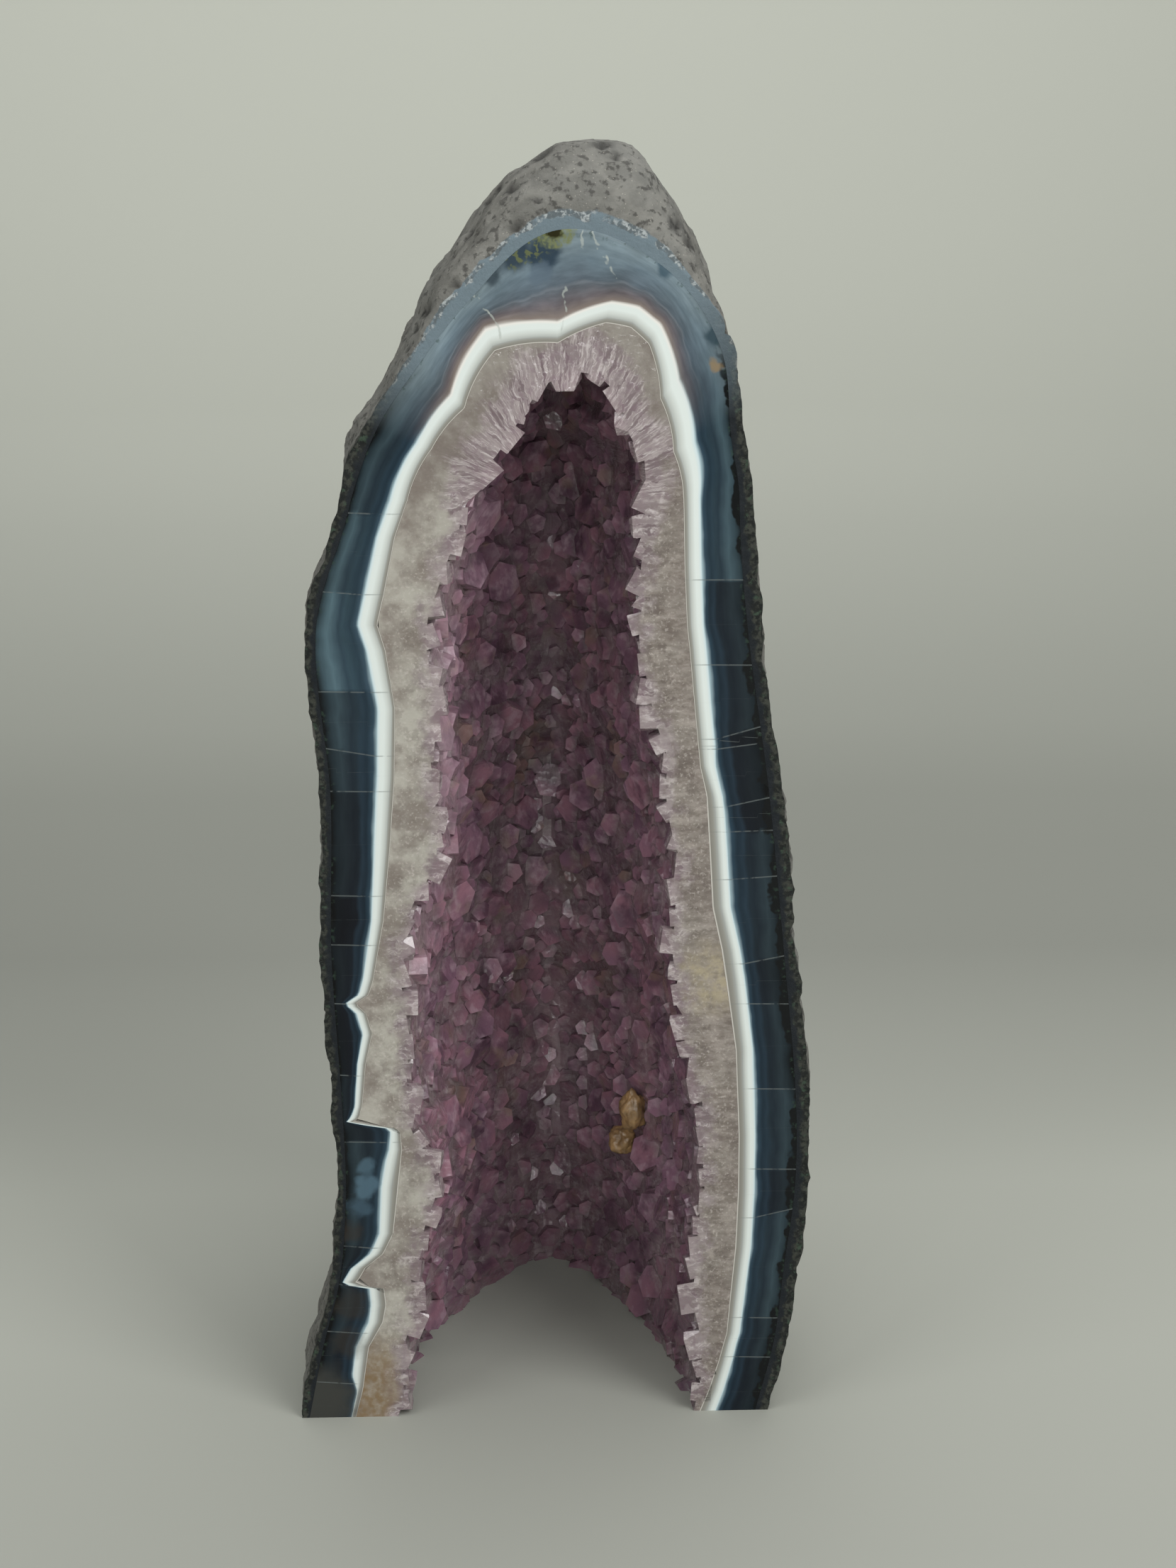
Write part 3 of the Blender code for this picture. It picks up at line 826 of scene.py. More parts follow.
def segment(finish, start, end, wobbled):
    """Distance in millimetres from a straight line between two places of the face."""
    a, b = Vector(on_face(*start)), Vector(on_face(*end))
    along = (b - a).normalized()
    offset = finish.vector("SUBTRACT", wobbled, a)
    walked = finish.sum("MAXIMUM", finish.vector("DOT_PRODUCT", offset, along, "Value"))
    foot = finish.vector("SCALE", along, finish.sum("MINIMUM", walked, (b - a).length))
    return finish.sum("DIVIDE", finish.vector("DISTANCE", offset, foot, "Value"), MM)


FRACTURES = (
    ((-24.7, 362.2), (-19.4, 354.5)), ((-19.4, 354.5), (-14.2, 342.8)),
    ((7.3, 379.8), (5.9, 372.4)), ((3.9, 368.0), (1.8, 356.4)), ((1.8, 356.4), (0.6, 344.7)),
    ((10.5, 376.4), (12.9, 369.4)), ((12.9, 369.4), (15.8, 364.4)),
)


def moss_and_marks(finish, body):
    """The moss, bubbles, spots and fractures that stand at one place of the face."""
    warp = finish.add("ShaderNodeTexNoise", {"Vector": finish.place, "Scale": 1 / (6 * MM), "Detail": 3.0})
    shift = finish.vector("SUBTRACT", warp.outputs["Color"], (0.5, 0.5, 0.5))
    wavy = finish.vector("ADD", finish.place, finish.vector("SCALE", shift, 7 * MM))
    for (x, z), size, colour, strength in (
        ((-12.5, 371.5), 6.5, rgb(44, 56, 66), 0.95),
        ((-4.6, 371.0), 6.0, rgb(40, 54, 66), 0.95),
        ((-19.0, 366.0), 4.5, rgb(40, 50, 58), 0.8),
        ((-61.2, 88.0), 4.0, rgb(74, 97, 110), 0.7),
        ((-61.0, 81.0), 4.6, rgb(78, 102, 116), 0.75),
        ((-63.0, 74.5), 4.2, rgb(60, 80, 93), 0.75),
        ((-67.5, 66.0), 5.0, rgb(52, 46, 40), 0.5),
        ((-66.5, 40.0), 6.5, rgb(50, 46, 40), 0.5),
        ((-68.0, 27.0), 6.5, rgb(52, 48, 42), 0.5),
        ((31.4, 366.9), 3.4, rgb(52, 72, 84), 0.8),
        ((44.8, 347.5), 4.6, rgb(46, 62, 70), 0.9),
        ((45.5, 339.6), 2.6, rgb(134, 112, 78), 0.7),
        ((-78.0, 6.0), 15.0, rgb(56, 57, 54), 1.0),
    ):
        mask = finish.step(finish.distance(on_face(x, z), wavy), size * 1.1, size * 0.45, 0, strength)
        body = finish.mix(mask, body, colour)
    away = finish.distance(on_face(-4.3, 365.5), wavy)
    body = finish.veil(body, (rgb(84, 98, 110), away, 4.0, 2.2, 0.6))
    eye = finish.distance(on_face(-0.7, 377.0), wavy)
    ring = finish.times(finish.step(eye, 2.2, 3.0), finish.step(eye, 5.6, 4.4))
    specks = finish.step(finish.cloud(1.3, 4), 0.4, 0.6, 0.4, 1.0)
    body = finish.veil(body, (rgb(38, 36, 18), eye, 3.4, 2.6))
    body = finish.mix(finish.times(ring, specks), body, rgb(104, 110, 78))
    moss = finish.step(finish.distance(on_face(-12.0, 377.0), wavy), 12.0, 8.0)
    moss = finish.times(moss, finish.step(finish.cloud(2.0, 5), 0.52, 0.6))
    body = finish.mix(finish.times(moss, 0.85), body, rgb(92, 98, 66))
    for start, end in FRACTURES:
        thin = finish.step(segment(finish, start, end, wavy), 0.55, 0.2, 0, 0.6)
        body = finish.mix(thin, body, rgb(160, 166, 160))
    return body


class GEODE_OT_agate(bpy.types.Operator):
    """Model the agate wall with its polished, banded face"""

    bl_idname = "geode.agate"
    bl_label = "Agate wall"

    def execute(self, context):
        places = even_places(AGATE_COLUMNS)
        column = places[:, None]
        outside = Surface(
            ROCK_REACH, ROCK_FORM, lambda place: rind_thickness(place) + FINE_GAP, RIND_BACK + FINE_GAP
        )
        behind = outside.points(column, even_turns(outside, AGATE_BACK_ROWS)[::-1][None, :])
        hidden_turns = np.concatenate((LINE_TURNS, even_turns(BAND, AGATE_BACK_ROWS)[2:]))
        hidden = BAND.points(column, hidden_turns[None, :])
        pale = np.interp(places, *PALE_LINE)
        grey_out = pale + np.interp(places, *zip(*GREY_BAND))
        white_out = grey_out + np.interp(places, *zip(*WHITE_BAND))
        rim = outside.reach(places, 0.0)
        white_out = np.minimum(white_out, rim - 1)
        levels = np.concatenate([
            3 - np.linspace(0, 1, FACE_ROWS[2] + 1)[1:],
            2 - np.linspace(0, 1, FACE_ROWS[1] + 1)[1:],
            1 - np.linspace(0, 1, FACE_ROWS[0] + 1)[1:-1],
        ])
        stops = np.stack([pale, grey_out, white_out, rim], 1)
        reach = np.array([np.interp(levels, (0, 1, 2, 3), row) for row in stops])
        start, across, up = rays(column)
        face = np.stack([SPINE_X + across * reach, 0 * reach, start + up * reach], -1)
        points = np.concatenate([behind, face, hidden], axis=1)
        shape = points.shape[:2]
        band = np.concatenate([np.full(AGATE_BACK_ROWS, 3.0), levels, np.zeros(hidden.shape[1])])
        band = np.broadcast_to(band, shape)
        place = np.broadcast_to(column, shape)
        crack, tone = crack_values(place, np.clip(band - 2, 0, 1))
        along = np.broadcast_to(distances(ROCK.points(places, 0.0))[:, None], shape)
        top = np.broadcast_to(np.interp(column, *TOP_FADE), shape)
        piece = lay_sheet(
            "agate_wall_banded", points, band=band, crack=crack, tone=tone, along=along, top=top
        )
        close_sheet(piece)
        bpy.ops.object.shade_smooth_by_angle(angle=AGATE_SMOOTH)
        settle(piece, agate(), "agate", "agate_wall")
        return {"FINISHED"}


# The crystals: how far the smooth root lies behind the hollow, and the forms of one crystal by its radius
ROOT_BEHIND = 0.6
ROOT_COLUMNS = 300
ROOT_ROWS = 40
CANDIDATES = 60000
SEED_PLACES = 601
SEED_TURNS = 120
GROWTH_PLACES = 260
GROWTH_TURNS = 70
EMBEDDED = 2.5
SHOULDER = (0.0, 0.5)
POINT = (0.75, 1.1)
TEETH_LONGER = 0.9
POINT_SHIFT = 0.35
FLATTEST = 0.8
CLOSENESS = 0.72
SIZE_STEPS = ((0.8, 0.46, 110), (1.0, 0.7, 110), (0.7, 0.5, 420), (0.5, 0.34, 4000))
FORWARD = 1.1
FORWARD_START = 0.18
FACE_CELL = 2.5
FRONT_TURN = -0.8
LAST_TURN = 0.9995
PLACE_MARGIN = MARGIN / SPRING
SAW_REACH = 500.0
ROOT = Surface(HOLLOW_REACH, HOLLOW_FORM, -ROOT_BEHIND, -ROOT_BEHIND)
ROOT_CENTRE = (SPINE_X, 25.0, SPRING)
ROOT_SWELLS = ((34.0, 5.0), (15.0, 2.2))
TEETH_DEPTH = 3.0
TEETH_SIZE = 3.4
TEETH_SHOULDER = 0.35


def root_points(place, turn):
    """Points of the crystals' root, which rises and falls into the hollow."""
    points = ROOT.points(place, turn)
    toward = np.stack([
        SPINE_X - points[..., 0], np.minimum(ROOT_CENTRE[1] - points[..., 1], 0),
        np.minimum(SPRING - points[..., 2], 0),
    ], -1)
    toward /= np.maximum(np.linalg.norm(toward, axis=-1, keepdims=True), 1e-6)
    rise = [
        sum(height * noise.noise(Vector(p) / size) for size, height in ROOT_SWELLS)
        for p in points.reshape(-1, 3)
    ]
    return points + toward * np.array(rise).reshape(points.shape[:-1])[..., None]


def drawn(rng, low, high):
    """A number drawn between two others."""
    return low + (high - low) * rng.random_sample()


def crystal_seeds(settings):
    """Places, turns and radii of the crystals, the largest first, spread over the root."""
    rng = np.random.RandomState(settings.seed)
    place_edges = np.linspace(-PLACE_MARGIN, 3 + PLACE_MARGIN, SEED_PLACES)
    turn_edges = even_turns(ROOT, SEED_TURNS)[:-1]
    turn_edges = np.concatenate(([FRONT_TURN, FRONT_TURN / 2], turn_edges, [LAST_TURN]))
    corners = ROOT.points(place_edges[:, None], turn_edges[None, :])
    one = np.linalg.norm(corners[1:, :-1] - corners[:-1, :-1], axis=-1)
    two = np.linalg.norm(corners[:-1, 1:] - corners[:-1, :-1], axis=-1)
    area = (one * two).ravel()
    cells = rng.choice(len(area), CANDIDATES, p=area / area.sum())
    column, row = np.unravel_index(cells, one.shape)
    share = rng.random_sample((2, CANDIDATES))
    place = place_edges[column] + share[0] * (place_edges[1] - place_edges[0])
    turn = turn_edges[row] + share[1] * (turn_edges[row + 1] - turn_edges[row])
    points = root_points(place, turn)
    largest, smallest = settings.largest / MM, settings.smallest / MM
    taken, grid, cell = [], {}, 2 * largest
    index = 0
    for step, (high, low, count) in enumerate(SIZE_STEPS):
        tries = CANDIDATES // len(SIZE_STEPS)
        grown = 0
        for index in range(index, index + tries):
            if grown == count or (step == 0 and not -1 < points[index][1] < TEETH_DEPTH):
                continue
            radius = max(smallest, largest * drawn(rng, low, high))
            key = tuple((points[index] // cell).astype(int))
            near = [
                other for dx in (-1, 0, 1) for dy in (-1, 0, 1) for dz in (-1, 0, 1)
                for other in grid.get((key[0] + dx, key[1] + dy, key[2] + dz), ())
            ]
            if all(
                math.dist(points[index], points[other]) > CLOSENESS * (radius + size)
                for other, size in near
            ):
                grid.setdefault(key, []).append((index, radius))
                taken.append((index, radius))
                grown += 1
        index += 1
    indices = np.array([index for index, _ in taken])
    return place[indices], turn[indices], np.array([radius for _, radius in taken])


def model_crystal():
    """One six-sided crystal modelled: its foot at 0, its shoulder at 1 and its point at 2."""
    bpy.ops.mesh.primitive_cylinder_add(vertices=6, radius=1, depth=1, location=(0, 0, 0.5))
    model = bpy.context.object
    bpy.ops.object.transform_apply(location=True)
    for polygon in model.data.polygons:
        polygon.select = polygon.normal.z > 0.9
    edit("FACE")
    bpy.ops.mesh.extrude_region_move(TRANSFORM_OT_translate={"value": (0, 0, 1)})
    bpy.ops.mesh.merge(type="CENTER")
    face_outwards()
    forms = coordinates(model)
    faces = [tuple(polygon.vertices) for polygon in model.data.polygons]
    bpy.data.objects.remove(model)
    return forms, faces


def grown_crystals(place, turn, radii, settings):
    """Vertices of every crystal, and the middle and radius of a ball round each."""
    rng = np.random.RandomState(settings.seed + 1)
    forms, faces = model_crystal()
    foots = root_points(place, turn)
    inward = ROOT.inward(place, turn)
    shapes, balls = [], []
    for foot, normal, radius, deep in zip(foots, inward, radii, turn):
        lean = math.tan(settings.tilt) * math.sqrt(rng.random_sample())
        about = rng.random_sample() * 2 * math.pi
        forward = FORWARD * max(deep - FORWARD_START, 0) / (1 - FORWARD_START)
        axis = Vector(normal) - Vector((0, forward, 0))
        axis.normalize()
        side = axis.orthogonal().normalized()
        axis = (axis + Matrix.Rotation(about, 3, axis) @ side * lean).normalized()
        twist = Matrix.Rotation(rng.random_sample() * math.pi / 3, 3, "Z")
        turned = axis.to_track_quat("Z", "Y").to_matrix() @ twist
        tooth = TEETH_LONGER if abs(foot[1]) < TEETH_DEPTH and radius > TEETH_SIZE else 0.0
        shoulder = radius * (drawn(rng, *SHOULDER) + TEETH_SHOULDER * tooth)
        point = radius * (drawn(rng, *POINT) + tooth)
        shift = rng.uniform(-POINT_SHIFT, POINT_SHIFT, 2) * radius
        squash = rng.uniform(FLATTEST, 1.0)
        shape = forms.copy()
        shape[:, 0] *= radius
        shape[:, 1] *= radius * squash
        for level, height in ((0, -EMBEDDED - radius * lean), (1, shoulder), (2, shoulder + point)):
            shape[abs(forms[:, 2] - level) < 0.1, 2] = height
        shape[abs(forms[:, 2] - 2) < 0.1, :2] += shift
        shapes.append(shape @ np.array(turned).T + foot)
        corners = shapes[-1]
        middle = (corners.min(0) + corners.max(0)) / 2
        balls.append((middle, np.linalg.norm(corners - middle, axis=1).max()))
    return shapes, faces, balls


def groups_apart(balls):
    """Splits the crystals into groups in which none touches another."""
    tree = KDTree(len(balls))
    for index, (middle, _) in enumerate(balls):
        tree.insert(middle, index)
    tree.balance()
    widest = max(size for _, size in balls)
    group = {}
    for index, (middle, size) in enumerate(balls):
        used = {
            group[other] for _, other, away in tree.find_range(middle, size + widest)
            if other in group and away < size + balls[other][1]
        }
        group[index] = next(number for number in range(len(balls)) if number not in used)
    groups = [[] for _ in range(max(group.values()) + 1)]
    for index, number in group.items():
        groups[number].append(index)
    return groups


def crystal_group(shapes, faces, members):
    """One mesh with a copy of the crystal for each member."""
    count = len(shapes[0])
    points = in_frame(np.concatenate([shapes[member] for member in members]))
    corners = [[corner + k * count for corner in face] for k in range(len(members)) for face in faces]
    mesh = bpy.data.meshes.new("crystals")
    mesh.from_pydata(points.tolist(), [], corners)
    piece = bpy.data.objects.new("crystals", mesh)
    bpy.context.scene.collection.objects.link(piece)
    return piece


def saw(low, high, cells):
    """A box to cut with, between two corners in the profile's millimetres."""
    low, high = in_frame(low), in_frame(high)
    bpy.ops.mesh.primitive_cube_add(size=1, location=(low + high) / 2, scale=high - low)
    blade = bpy.context.object
    bpy.ops.object.transform_apply(location=True, scale=True)
    if cells:
        for polygon in blade.data.polygons:
            polygon.select = polygon.normal.y > 0.9
        edit("FACE")
        bpy.ops.mesh.subdivide(number_cuts=cells)
        stop_editing()
    return blade


def drop_crumbs(piece):
    """Removes the crumbs that the saw has cut loose: all that isn't joined to the rearmost point."""
    rear = int(coordinates(piece)[:, 1].argmax())
    only(piece)
    edit("VERT")
    bpy.ops.mesh.select_all(action="DESELECT")
    stop_editing()
    piece.data.vertices[rear].select = True
    bpy.ops.object.mode_set(mode="EDIT")
    bpy.ops.mesh.select_linked()
    bpy.ops.mesh.select_all(action="INVERT")
    bpy.ops.mesh.delete(type="VERT")
    stop_editing()


def growth_of(points):
    """How far each point stands out from the root into the hollow, in millimetres."""
    places = np.linspace(-PLACE_MARGIN, 3 + PLACE_MARGIN, GROWTH_PLACES)[:, None]
    turns = np.concatenate(([-1.0, -0.5], even_turns(ROOT, GROWTH_TURNS)))[None, :]
    grid = root_points(places, turns)
    rows = grid.shape[1]
    corners = [
        (i * rows + j, (i + 1) * rows + j, (i + 1) * rows + j + 1, i * rows + j + 1)
        for i in range(grid.shape[0] - 1) for j in range(rows - 1)
    ]
    tree = BVHTree.FromPolygons(grid.reshape(-1, 3).tolist(), corners)
    growth = np.empty(len(points))
    for index, point in enumerate(points):
        found, _, _, away = tree.find_nearest(Vector(point))
        inner = Vector(ROOT_CENTRE) - found
        inner.z = 0.0 if found.z < SPRING else inner.z
        growth[index] = away if (Vector(point) - found).dot(inner) > 0 else -away
    return growth


def amethyst():
    """Quartz, cloudy and grey at the wall, violet and clear at the crystals' faces, with painted shade in
    the recesses, on the right wall and low down, and painted light on the tips and on the left wall.
    """
    settings = bpy.context.scene.geode_crystals
    finish = Finish("amethyst", 0.09)
    growth, along = finish.kept("growth"), finish.kept("along")
    _, depth, height = finish.add("ShaderNodeSeparateXYZ", {0: finish.place}).outputs
    depth = finish.less(finish.sum("DIVIDE", depth, MM), TO_FRAME[1])
    right = finish.step(along, 470, 620)
    top = finish.times(finish.step(along, 270, 350), finish.step(along, 640, 540))
    columns = finish.joined(
        finish.times(along, 0.0004), finish.times(growth, 0.00016), finish.times(depth, 0.0003)
    )
    columns = finish.cloud(1.0, 5, columns, 0.68)
    wander = finish.plus(along, finish.step(finish.cloud(4, 3), 0.2, 0.8, -3.0, 3.0))
    prism = finish.joined(
        finish.times(wander, 0.00026), finish.times(growth, 0.00008), finish.times(depth, 0.0002)
    )
    shade = finish.add("ShaderNodeSeparateColor", {0: finish.cells(1.0, prism, "Color")}).outputs[0]
    seam = finish.add(
        "ShaderNodeTexVoronoi", {"Vector": prism, "Scale": 1 / MM}, feature="DISTANCE_TO_EDGE"
    )
    seam = finish.times(finish.step(seam.outputs["Distance"], 0.09, 0.02), finish.step(columns, 0.4, 0.6))
    quartz = finish.veil(
        rgb(120, 109, 101),
        (rgb(170, 160, 152), columns, 0.34, 0.66),
        (rgb(112, 102, 96), shade, 0.2, 1, 0.4),
    )
    soft = finish.veil(
        rgb(146, 137, 128), (rgb(202, 199, 187), finish.cloud(14, 5, rough=0.62), 0.38, 0.62)
    )
    quartz = finish.mix(finish.step(right, 0, 1, 0.8, 0.15), quartz, soft)
    smoke = finish.step(finish.cloud(6, 6, rough=0.72), 0.5, 0.62)
    smoke = finish.times(smoke, finish.step(growth, -15, -6))
    quartz = finish.mix(finish.times(smoke, finish.step(right, 0, 1, 0.3, 0.6)), quartz, rgb(106, 95, 89))
    sugar = finish.step(finish.cloud(0.9, 4), 0.54, 0.68)
    sugar = finish.times(sugar, finish.step(growth, -16, -5, 0.1, 0.4))
    quartz = finish.mix(sugar, quartz, rgb(222, 214, 206))
    lilac = finish.veil(
        rgb(130, 115, 118),
        (rgb(166, 154, 154), shade, 0.1, 0.9),
        (rgb(206, 197, 194), columns, 0.45, 0.66, 0.6),
        (rgb(140, 118, 128), finish.cloud(2.2, 5), 0.5, 0.64, 0.4),
    )
    lilac = finish.mix(finish.times(seam, 0.6), lilac, rgb(226, 218, 216))
    tan = finish.step(finish.distance(on_face(-62, 4)), 32, 12)
    tan = finish.times(tan, finish.step(finish.cloud(2.5, 5), 0.3, 0.65, 0.5, 0.95))
    quartz = finish.mix(tan, quartz, rgb(140, 116, 84))
    quartz = finish.mix(finish.times(top, 0.5), quartz, rgb(122, 112, 106))
    warm = finish.step(finish.distance(on_face(46, 150)), 16, 4)
    warm = finish.times(warm, finish.step(finish.cloud(3, 5), 0.35, 0.65, 0.2, 0.7))
    quartz = finish.mix(warm, quartz, rgb(196, 184, 152))
    ragged = finish.plus(growth, finish.step(finish.cloud(5, 4), 0.25, 0.75, -3.0, 3.0))
    ragged = finish.plus(ragged, finish.times(top, 7.0))
    wall = finish.veil(quartz, (lilac, ragged, -5.0, 1.5))
    violet = finish.ramp(finish.cloud(26, 3), (
        (0.3, rgb(118, 88, 108)), (0.46, rgb(164, 124, 144)), (0.58, rgb(178, 130, 146)),
        (0.72, rgb(138, 104, 124)),
    ))
    # Painted shade in the recesses between the crystals, where growth is low, and a painted highlight on
    # their tips, where it is high; the cloud patches are the crystals' own tones.
    violet = finish.veil(
        violet,
        (rgb(210, 182, 194), finish.cloud(4, 5), 0.46, 0.66, 0.5),
        (rgb(84, 60, 76), finish.cloud(12, 4), 0.52, 0.36, 0.7),
        (rgb(148, 124, 104), finish.cloud(16, 3), 0.56, 0.68, 0.6),
        (rgb(72, 48, 60), growth, 2.5, -2.0, 0.7),
        (rgb(206, 184, 196), growth, 3.0, 7.0, 0.3),
    )
    # Painted shade on the right wall, near the face.
    violet = finish.mix(finish.times(right, finish.step(depth, 50, 10, 0, 0.5)), violet, rgb(92, 66, 84))
    # Painted light on the left wall, near the face and above mid-height.
    painted_left_light = finish.times(finish.step(right, 1, 0), finish.step(depth, 60, 8, 0, 0.4))
    painted_left_light = finish.times(painted_left_light, finish.step(height, 90 * MM, 170 * MM))
    violet = finish.mix(painted_left_light, violet, rgb(218, 190, 200))
    # Painted shade low in the hollow, darker towards the base.
    violet = finish.veil(violet, (rgb(88, 62, 76), height, 80 * MM, 5 * MM, 0.5))
    deep = finish.step(depth, 0.0, finish.step(finish.sum("MAXIMUM", right, top), 0, 1, 16, 6), 0.12, 1.0)
    inside = finish.times(finish.step(growth, -2.5, 2.0), deep)
    finish.set(Base_Color=finish.mix(inside, wall, violet))
    finish.set(Transmission_Weight=0.34, IOR=1.54)
    finish.set(Roughness=finish.step(finish.cloud(3, 3), 0.35, 0.65, 0.03, 0.14))
    growths = finish.less(finish.cloud(1.5, 4), finish.cells(2.4))
    finish.set(Normal=finish.bump(growths, finish.step(inside, 0, 1, 0.2, 0.45), 0.5))
    inputs = {"Color": rgb(176, 120, 178), "Density": settings.absorption}
    absorb = finish.add("ShaderNodeVolumeAbsorption", inputs)
    finish.feed(finish.nodes["Material Output"].inputs["Volume"], absorb.outputs[0])
    return finish.material


class GEODE_OT_crystals(bpy.types.Operator):
    """Grow the quartz crust with its crystals, and saw it along the face and the base"""

    bl_idname = "geode.crystals"
    bl_label = "Amethyst crust"

    def execute(self, context):
        settings = context.scene.geode_crystals
        column = even_places(ROOT_COLUMNS)
        column = np.concatenate(([-PLACE_MARGIN], column, [3 + PLACE_MARGIN]))[:, None]
        outer = Surface(BAND_REACH, BAND_FORM, FINE_GAP, FINE_GAP, line=PALE_LINE)
        outer_turns = np.concatenate(([-1.0], LINE_TURNS, even_turns(outer, ROOT_ROWS)[2:]))[None, ::-1]
        root_turns = np.concatenate(([-1.0], even_turns(ROOT, ROOT_ROWS)))[None, :]
        points = [outer.points(column, outer_turns), root_points(column, root_turns)]
        points = np.concatenate(points, axis=1)
        points[0, :, 2] = -MARGIN
        points[-1, :, 2] = -MARGIN
        piece = lay_sheet("amethyst_crust_grown", points)
        close_sheet(piece)
        shapes, faces, balls = grown_crystals(*crystal_seeds(settings), settings)
        for members in groups_apart(balls):
            boolean(piece, crystal_group(shapes, faces, members), "UNION")
        corner = (-SAW_REACH, -SAW_REACH, -SAW_REACH)
        cells = int(2 * SAW_REACH / FACE_CELL)
        boolean(piece, saw(corner, (SAW_REACH, 0, SAW_REACH), cells), "DIFFERENCE")
        boolean(piece, saw(corner, (SAW_REACH, SAW_REACH, 0), 0), "DIFFERENCE")
        drop_crumbs(piece)
        local = coordinates(piece) / MM - TO_FRAME
        keep(piece, "growth", growth_of(local))
        keep(piece, "along", places_of(local) * SPRING)
        settle(piece, amethyst(), "amethyst", "amethyst_crust")
        return {"FINISHED"}


# Calcite on the right wall: height, turn of the wall's profile and radii
CALCITE = (
    (75.0, 0.48, (4.4, 4.2, 7.0)),
    (61.5, 0.52, (5.0, 4.6, 5.0)),
)
CALCITE_PROUD = 3.2
CALCITE_LUMP = 0.3
CALCITE_GRAIN = 0.08


def calcite():
    """Honey-coloured calcite."""
    finish = Finish("calcite", 0.32)
    tint = finish.veil(rgb(124, 98, 66), (rgb(172, 138, 94), finish.cloud(5, 3), 0.35, 0.65))
    finish.set(Base_Color=tint, Normal=finish.bump(finish.cloud(2, 4), 0.3, 0.5), IOR=1.6)
    return finish.material


class GEODE_OT_calcite(bpy.types.Operator):
    """Set the two lumps of calcite on the right wall"""

    bl_idname = "geode.calcite"
    bl_label = "Calcite"

    def execute(self, context):
        hollow = Surface(HOLLOW_REACH, HOLLOW_FORM)
        look = calcite()
        for number, (height, turn, radii) in enumerate(CALCITE):
            place = np.array(3 - height / SPRING)
            centre = hollow.points(place, turn) + hollow.inward(place, np.array(turn)) * CALCITE_PROUD
            bpy.ops.mesh.primitive_ico_sphere_add(subdivisions=5, radius=1)
            piece = bpy.context.object
            piece.name = piece.data.name = f"calcite_{number + 1}"
            ball = coordinates(piece)
            swollen = [
                1 + CALCITE_LUMP * noise.noise(Vector(p) * 1.4 + Vector(centre))
                + CALCITE_GRAIN * noise.noise(Vector(p) * 5)
                for p in ball
            ]
            points = ball * np.array(swollen)[:, None] * np.array(radii) + centre
            piece.data.vertices.foreach_set("co", in_frame(points).astype(np.float32).ravel())
            bpy.ops.object.shade_smooth()
            settle(piece, look, "amethyst")
        return {"FINISHED"}


# The stage: a floor that rises far behind, the lamps and the camera
FLOOR_RADIUS = 3.0
WALL_START = 1.7
WALL_RISE = 1.5
WALL_STEPS = 12
CAMERA_PLACE = (-0.0184, -0.9012, 0.484)
CAMERA_TURN = (math.radians(72), 0.0, math.radians(-2.03))
CAMERA_LENS = 67.18
AIM = (0.0, 0.0, 0.2)
WALL_AIM = (0.0, 3.2, 0.9)
ROOM_COLOUR = (0.95, 1.0, 0.96, 1.0)
ROOM_LIGHT = 0.22
SPARKS = 36
SPARK_SIZE = 0.085
SPARK_POWER = 0.32
SPARK_HEIGHTS = (0.34, 0.68, 1.05)
SPARK_LEFT = -0.6
SPARK_RIGHT = 1.15
SPARK_FRONT = -1.35
SPARK_BEND = 0.3
# Painted light and shade on the floor: brightness by depth in metres, darkest in a band just behind the
# geode and lightest far back.
FLOOR_PAINTED_SHADING = (
    (-0.15, 0.56), (0.1, 0.66), (0.2, 0.56), (0.34, 0.45), (0.48, 0.48), (0.7, 0.57), (1.2, 0.64),
    (1.6, 0.75), (2.2, 0.88), (3.0, 1.05),
)
LAMPS = (
    ("soft_left", (-0.95, -0.8, 1.2), 0.8, 7.0, AIM),
    ("soft_right", (0.9, -0.9, 1.25), 0.8, 14.5, AIM),
    ("soft_top", (0.1, 0.25, 1.7), 1.2, 16.0, AIM),
    ("wall_light", (0.0, 1.1, 1.6), 1.4, 30.0, WALL_AIM),
)


def lamp(name, place, size, power, aim):
    """A square lamp aimed at a point."""
    light = bpy.data.lights.new(name, "AREA")
    light.size = size
    light.energy = power
    made = bpy.data.objects.new(name, light)
    made.location = place
    made.rotation_euler = (Vector(aim) - Vector(place)).to_track_quat("-Z", "Y").to_euler()
    bpy.context.scene.collection.objects.link(made)


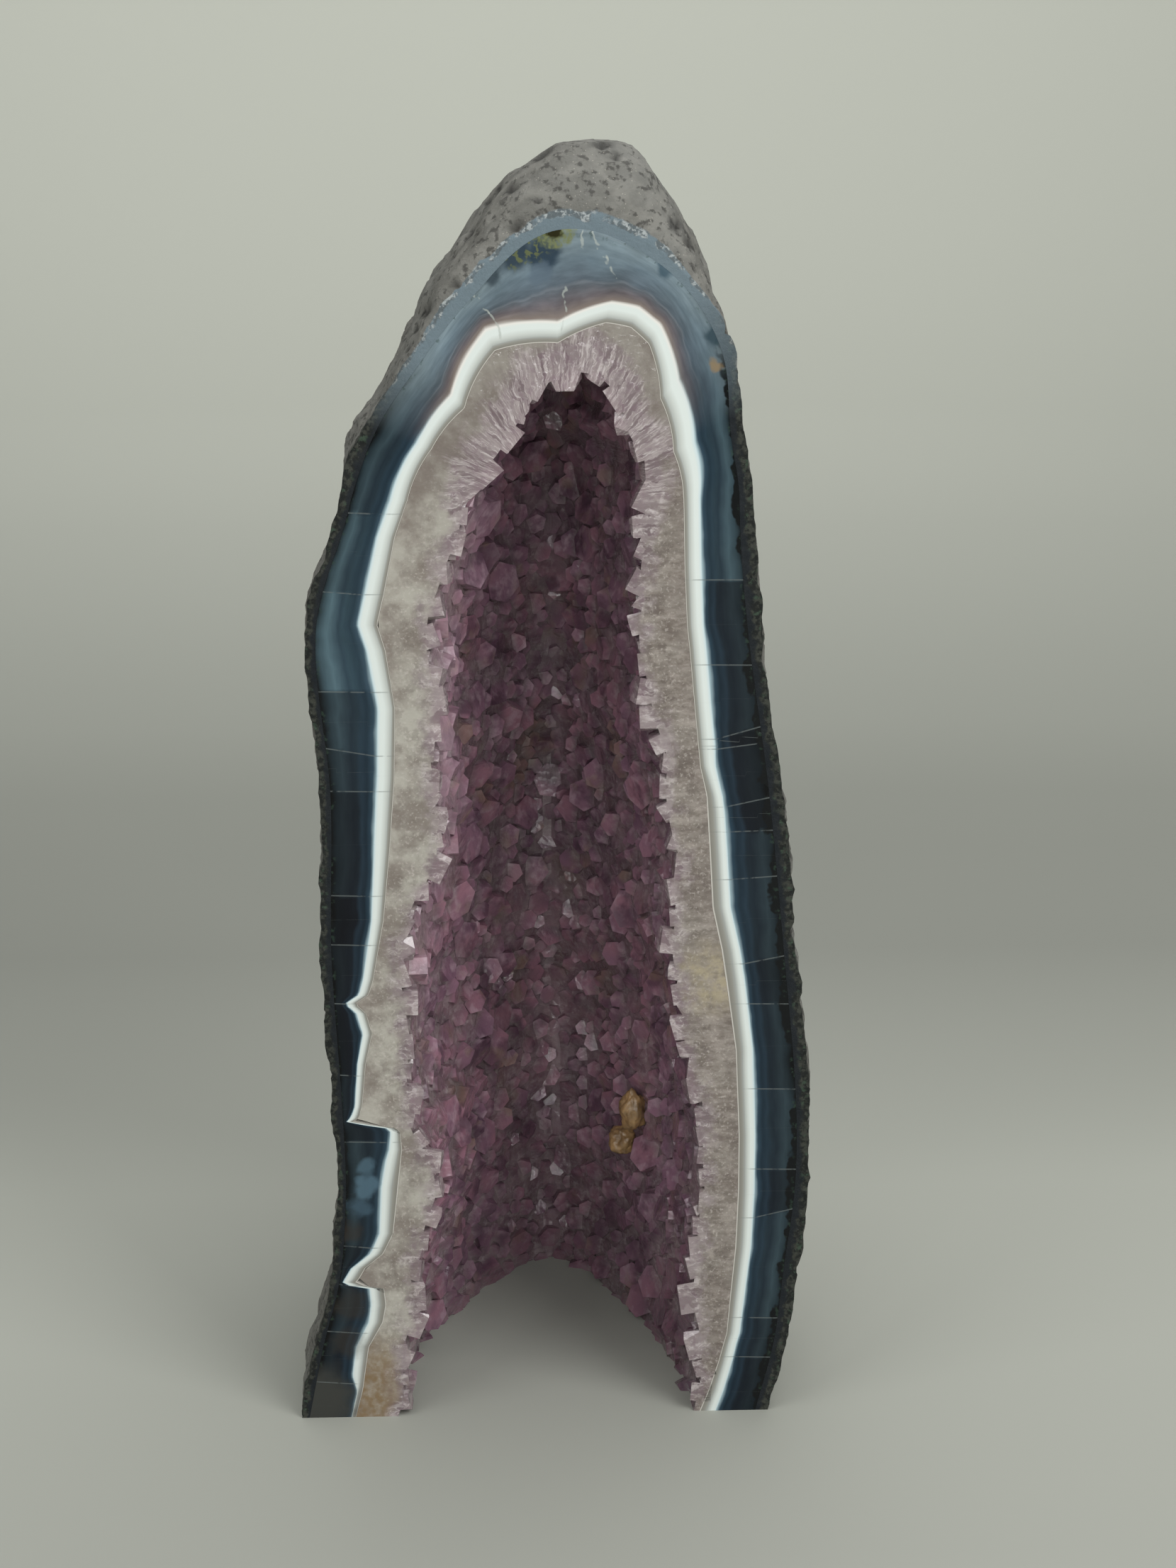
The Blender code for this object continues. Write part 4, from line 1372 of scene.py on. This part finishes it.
class GEODE_OT_stage(bpy.types.Operator):
    """Set up the floor, the lamps and the camera"""

    bl_idname = "geode.stage"
    bl_label = "Stage"

    def execute(self, context):
        settings = context.scene.geode_stage
        bpy.ops.mesh.primitive_circle_add(vertices=96, radius=WALL_START, fill_type="NGON")
        floor = context.object
        floor.name = floor.data.name = "floor"
        edit("EDGE")
        for k in range(WALL_STEPS):
            angle = math.pi / 2 * (k + 0.5) / WALL_STEPS
            length = WALL_RISE * math.pi / 2 / WALL_STEPS
            bpy.ops.mesh.select_all(action="DESELECT")
            bpy.ops.mesh.select_non_manifold()
            bpy.ops.mesh.extrude_edges_move(
                TRANSFORM_OT_translate={"value": (0, 0, length * math.sin(angle))}
            )
            radius = WALL_START + WALL_RISE * math.sin(math.pi / 2 * k / WALL_STEPS)
            wider = WALL_START + WALL_RISE * math.sin(math.pi / 2 * (k + 1) / WALL_STEPS)
            scale = wider / radius
            bpy.ops.transform.resize(value=(scale, scale, 1), center_override=(0, 0, 0))
        stop_editing()
        bpy.ops.object.shade_smooth()
        finish = Finish("floor", 0.7)
        depth = finish.add("ShaderNodeSeparateXYZ", {0: finish.place}).outputs[1]
        # Painted light and shade: the floor's colour times a brightness that changes with depth.
        (first, _), (last, _) = FLOOR_PAINTED_SHADING[0], FLOOR_PAINTED_SHADING[-1]
        share = finish.sum("DIVIDE", finish.less(depth, first), last - first)
        floor_shading = [((y - first) / (last - first), (tone, tone, tone, 1)) for y, tone in FLOOR_PAINTED_SHADING]
        floor_shading = finish.ramp(share, floor_shading)
        finish.set(Base_Color=finish.mix(1.0, (*settings.floor, 1.0), floor_shading, "MULTIPLY"))
        floor.data.materials.append(finish.material)
        for name, place, size, power, aim in LAMPS:
            lamp(name, place, size, power * settings.light, aim)
        for number in range(SPARKS):
            across = SPARK_LEFT + (SPARK_RIGHT - SPARK_LEFT) * number / (SPARKS - 1)
            height = SPARK_HEIGHTS[number % len(SPARK_HEIGHTS)]
            place = (across, SPARK_FRONT + SPARK_BEND * across**2, height)
            lamp(f"spark_{number + 1}", place, SPARK_SIZE, SPARK_POWER * settings.light, AIM)
        world = bpy.data.worlds.new("room")
        world.use_nodes = True
        background = world.node_tree.nodes["Background"]
        background.inputs["Color"].default_value = ROOM_COLOUR
        background.inputs["Strength"].default_value = ROOM_LIGHT
        context.scene.world = world
        context.scene.view_settings.view_transform = "Standard"
        camera = bpy.data.objects.new("camera", bpy.data.cameras.new("camera"))
        camera.location = CAMERA_PLACE
        camera.rotation_euler = CAMERA_TURN
        camera.data.lens = CAMERA_LENS
        camera.data.clip_start = 0.05
        context.scene.collection.objects.link(camera)
        context.scene.camera = camera
        return {"FINISHED"}


class GEODE_PT_panel(bpy.types.Panel):
    """Lists the pieces of the geode"""

    bl_idname = "GEODE_PT_panel"
    bl_label = "Cathedral geode"
    bl_space_type = "VIEW_3D"
    bl_region_type = "UI"
    bl_category = "Geode"

    def draw(self, context):
        for operator, settings in PIECES:
            box = self.layout.box()
            box.operator(operator.bl_idname)
            if settings:
                group = getattr(context.scene, settings)
                for label in group.bl_rna.properties.keys():
                    if label not in ("rna_type", "name"):
                        box.prop(group, label)


PIECES = (
    (GEODE_OT_stage, "geode_stage"),
    (GEODE_OT_rind, "geode_rind"),
    (GEODE_OT_agate, "geode_agate"),
    (GEODE_OT_crystals, "geode_crystals"),
    (GEODE_OT_calcite, None),
)
GROUPS = {
    "geode_stage": StageSettings,
    "geode_rind": RindSettings,
    "geode_agate": AgateSettings,
    "geode_crystals": CrystalSettings,
}
CLASSES = (*GROUPS.values(), *(operator for operator, _ in PIECES), GEODE_PT_panel)


def register():
    """Adds the classes and their settings."""
    for made in CLASSES:
        bpy.utils.register_class(made)
    for label, group in GROUPS.items():
        setattr(bpy.types.Scene, label, bpy.props.PointerProperty(type=group))


def unregister():
    """Takes the classes and their settings away again."""
    for label in GROUPS:
        delattr(bpy.types.Scene, label)
    for made in reversed(CLASSES):
        bpy.utils.unregister_class(made)


def main():
    """Makes every piece."""
    register()
    bpy.ops.geode.stage()
    bpy.ops.geode.rind()
    bpy.ops.geode.agate()
    bpy.ops.geode.crystals()
    bpy.ops.geode.calcite()


if __name__ == "__main__":
    main()
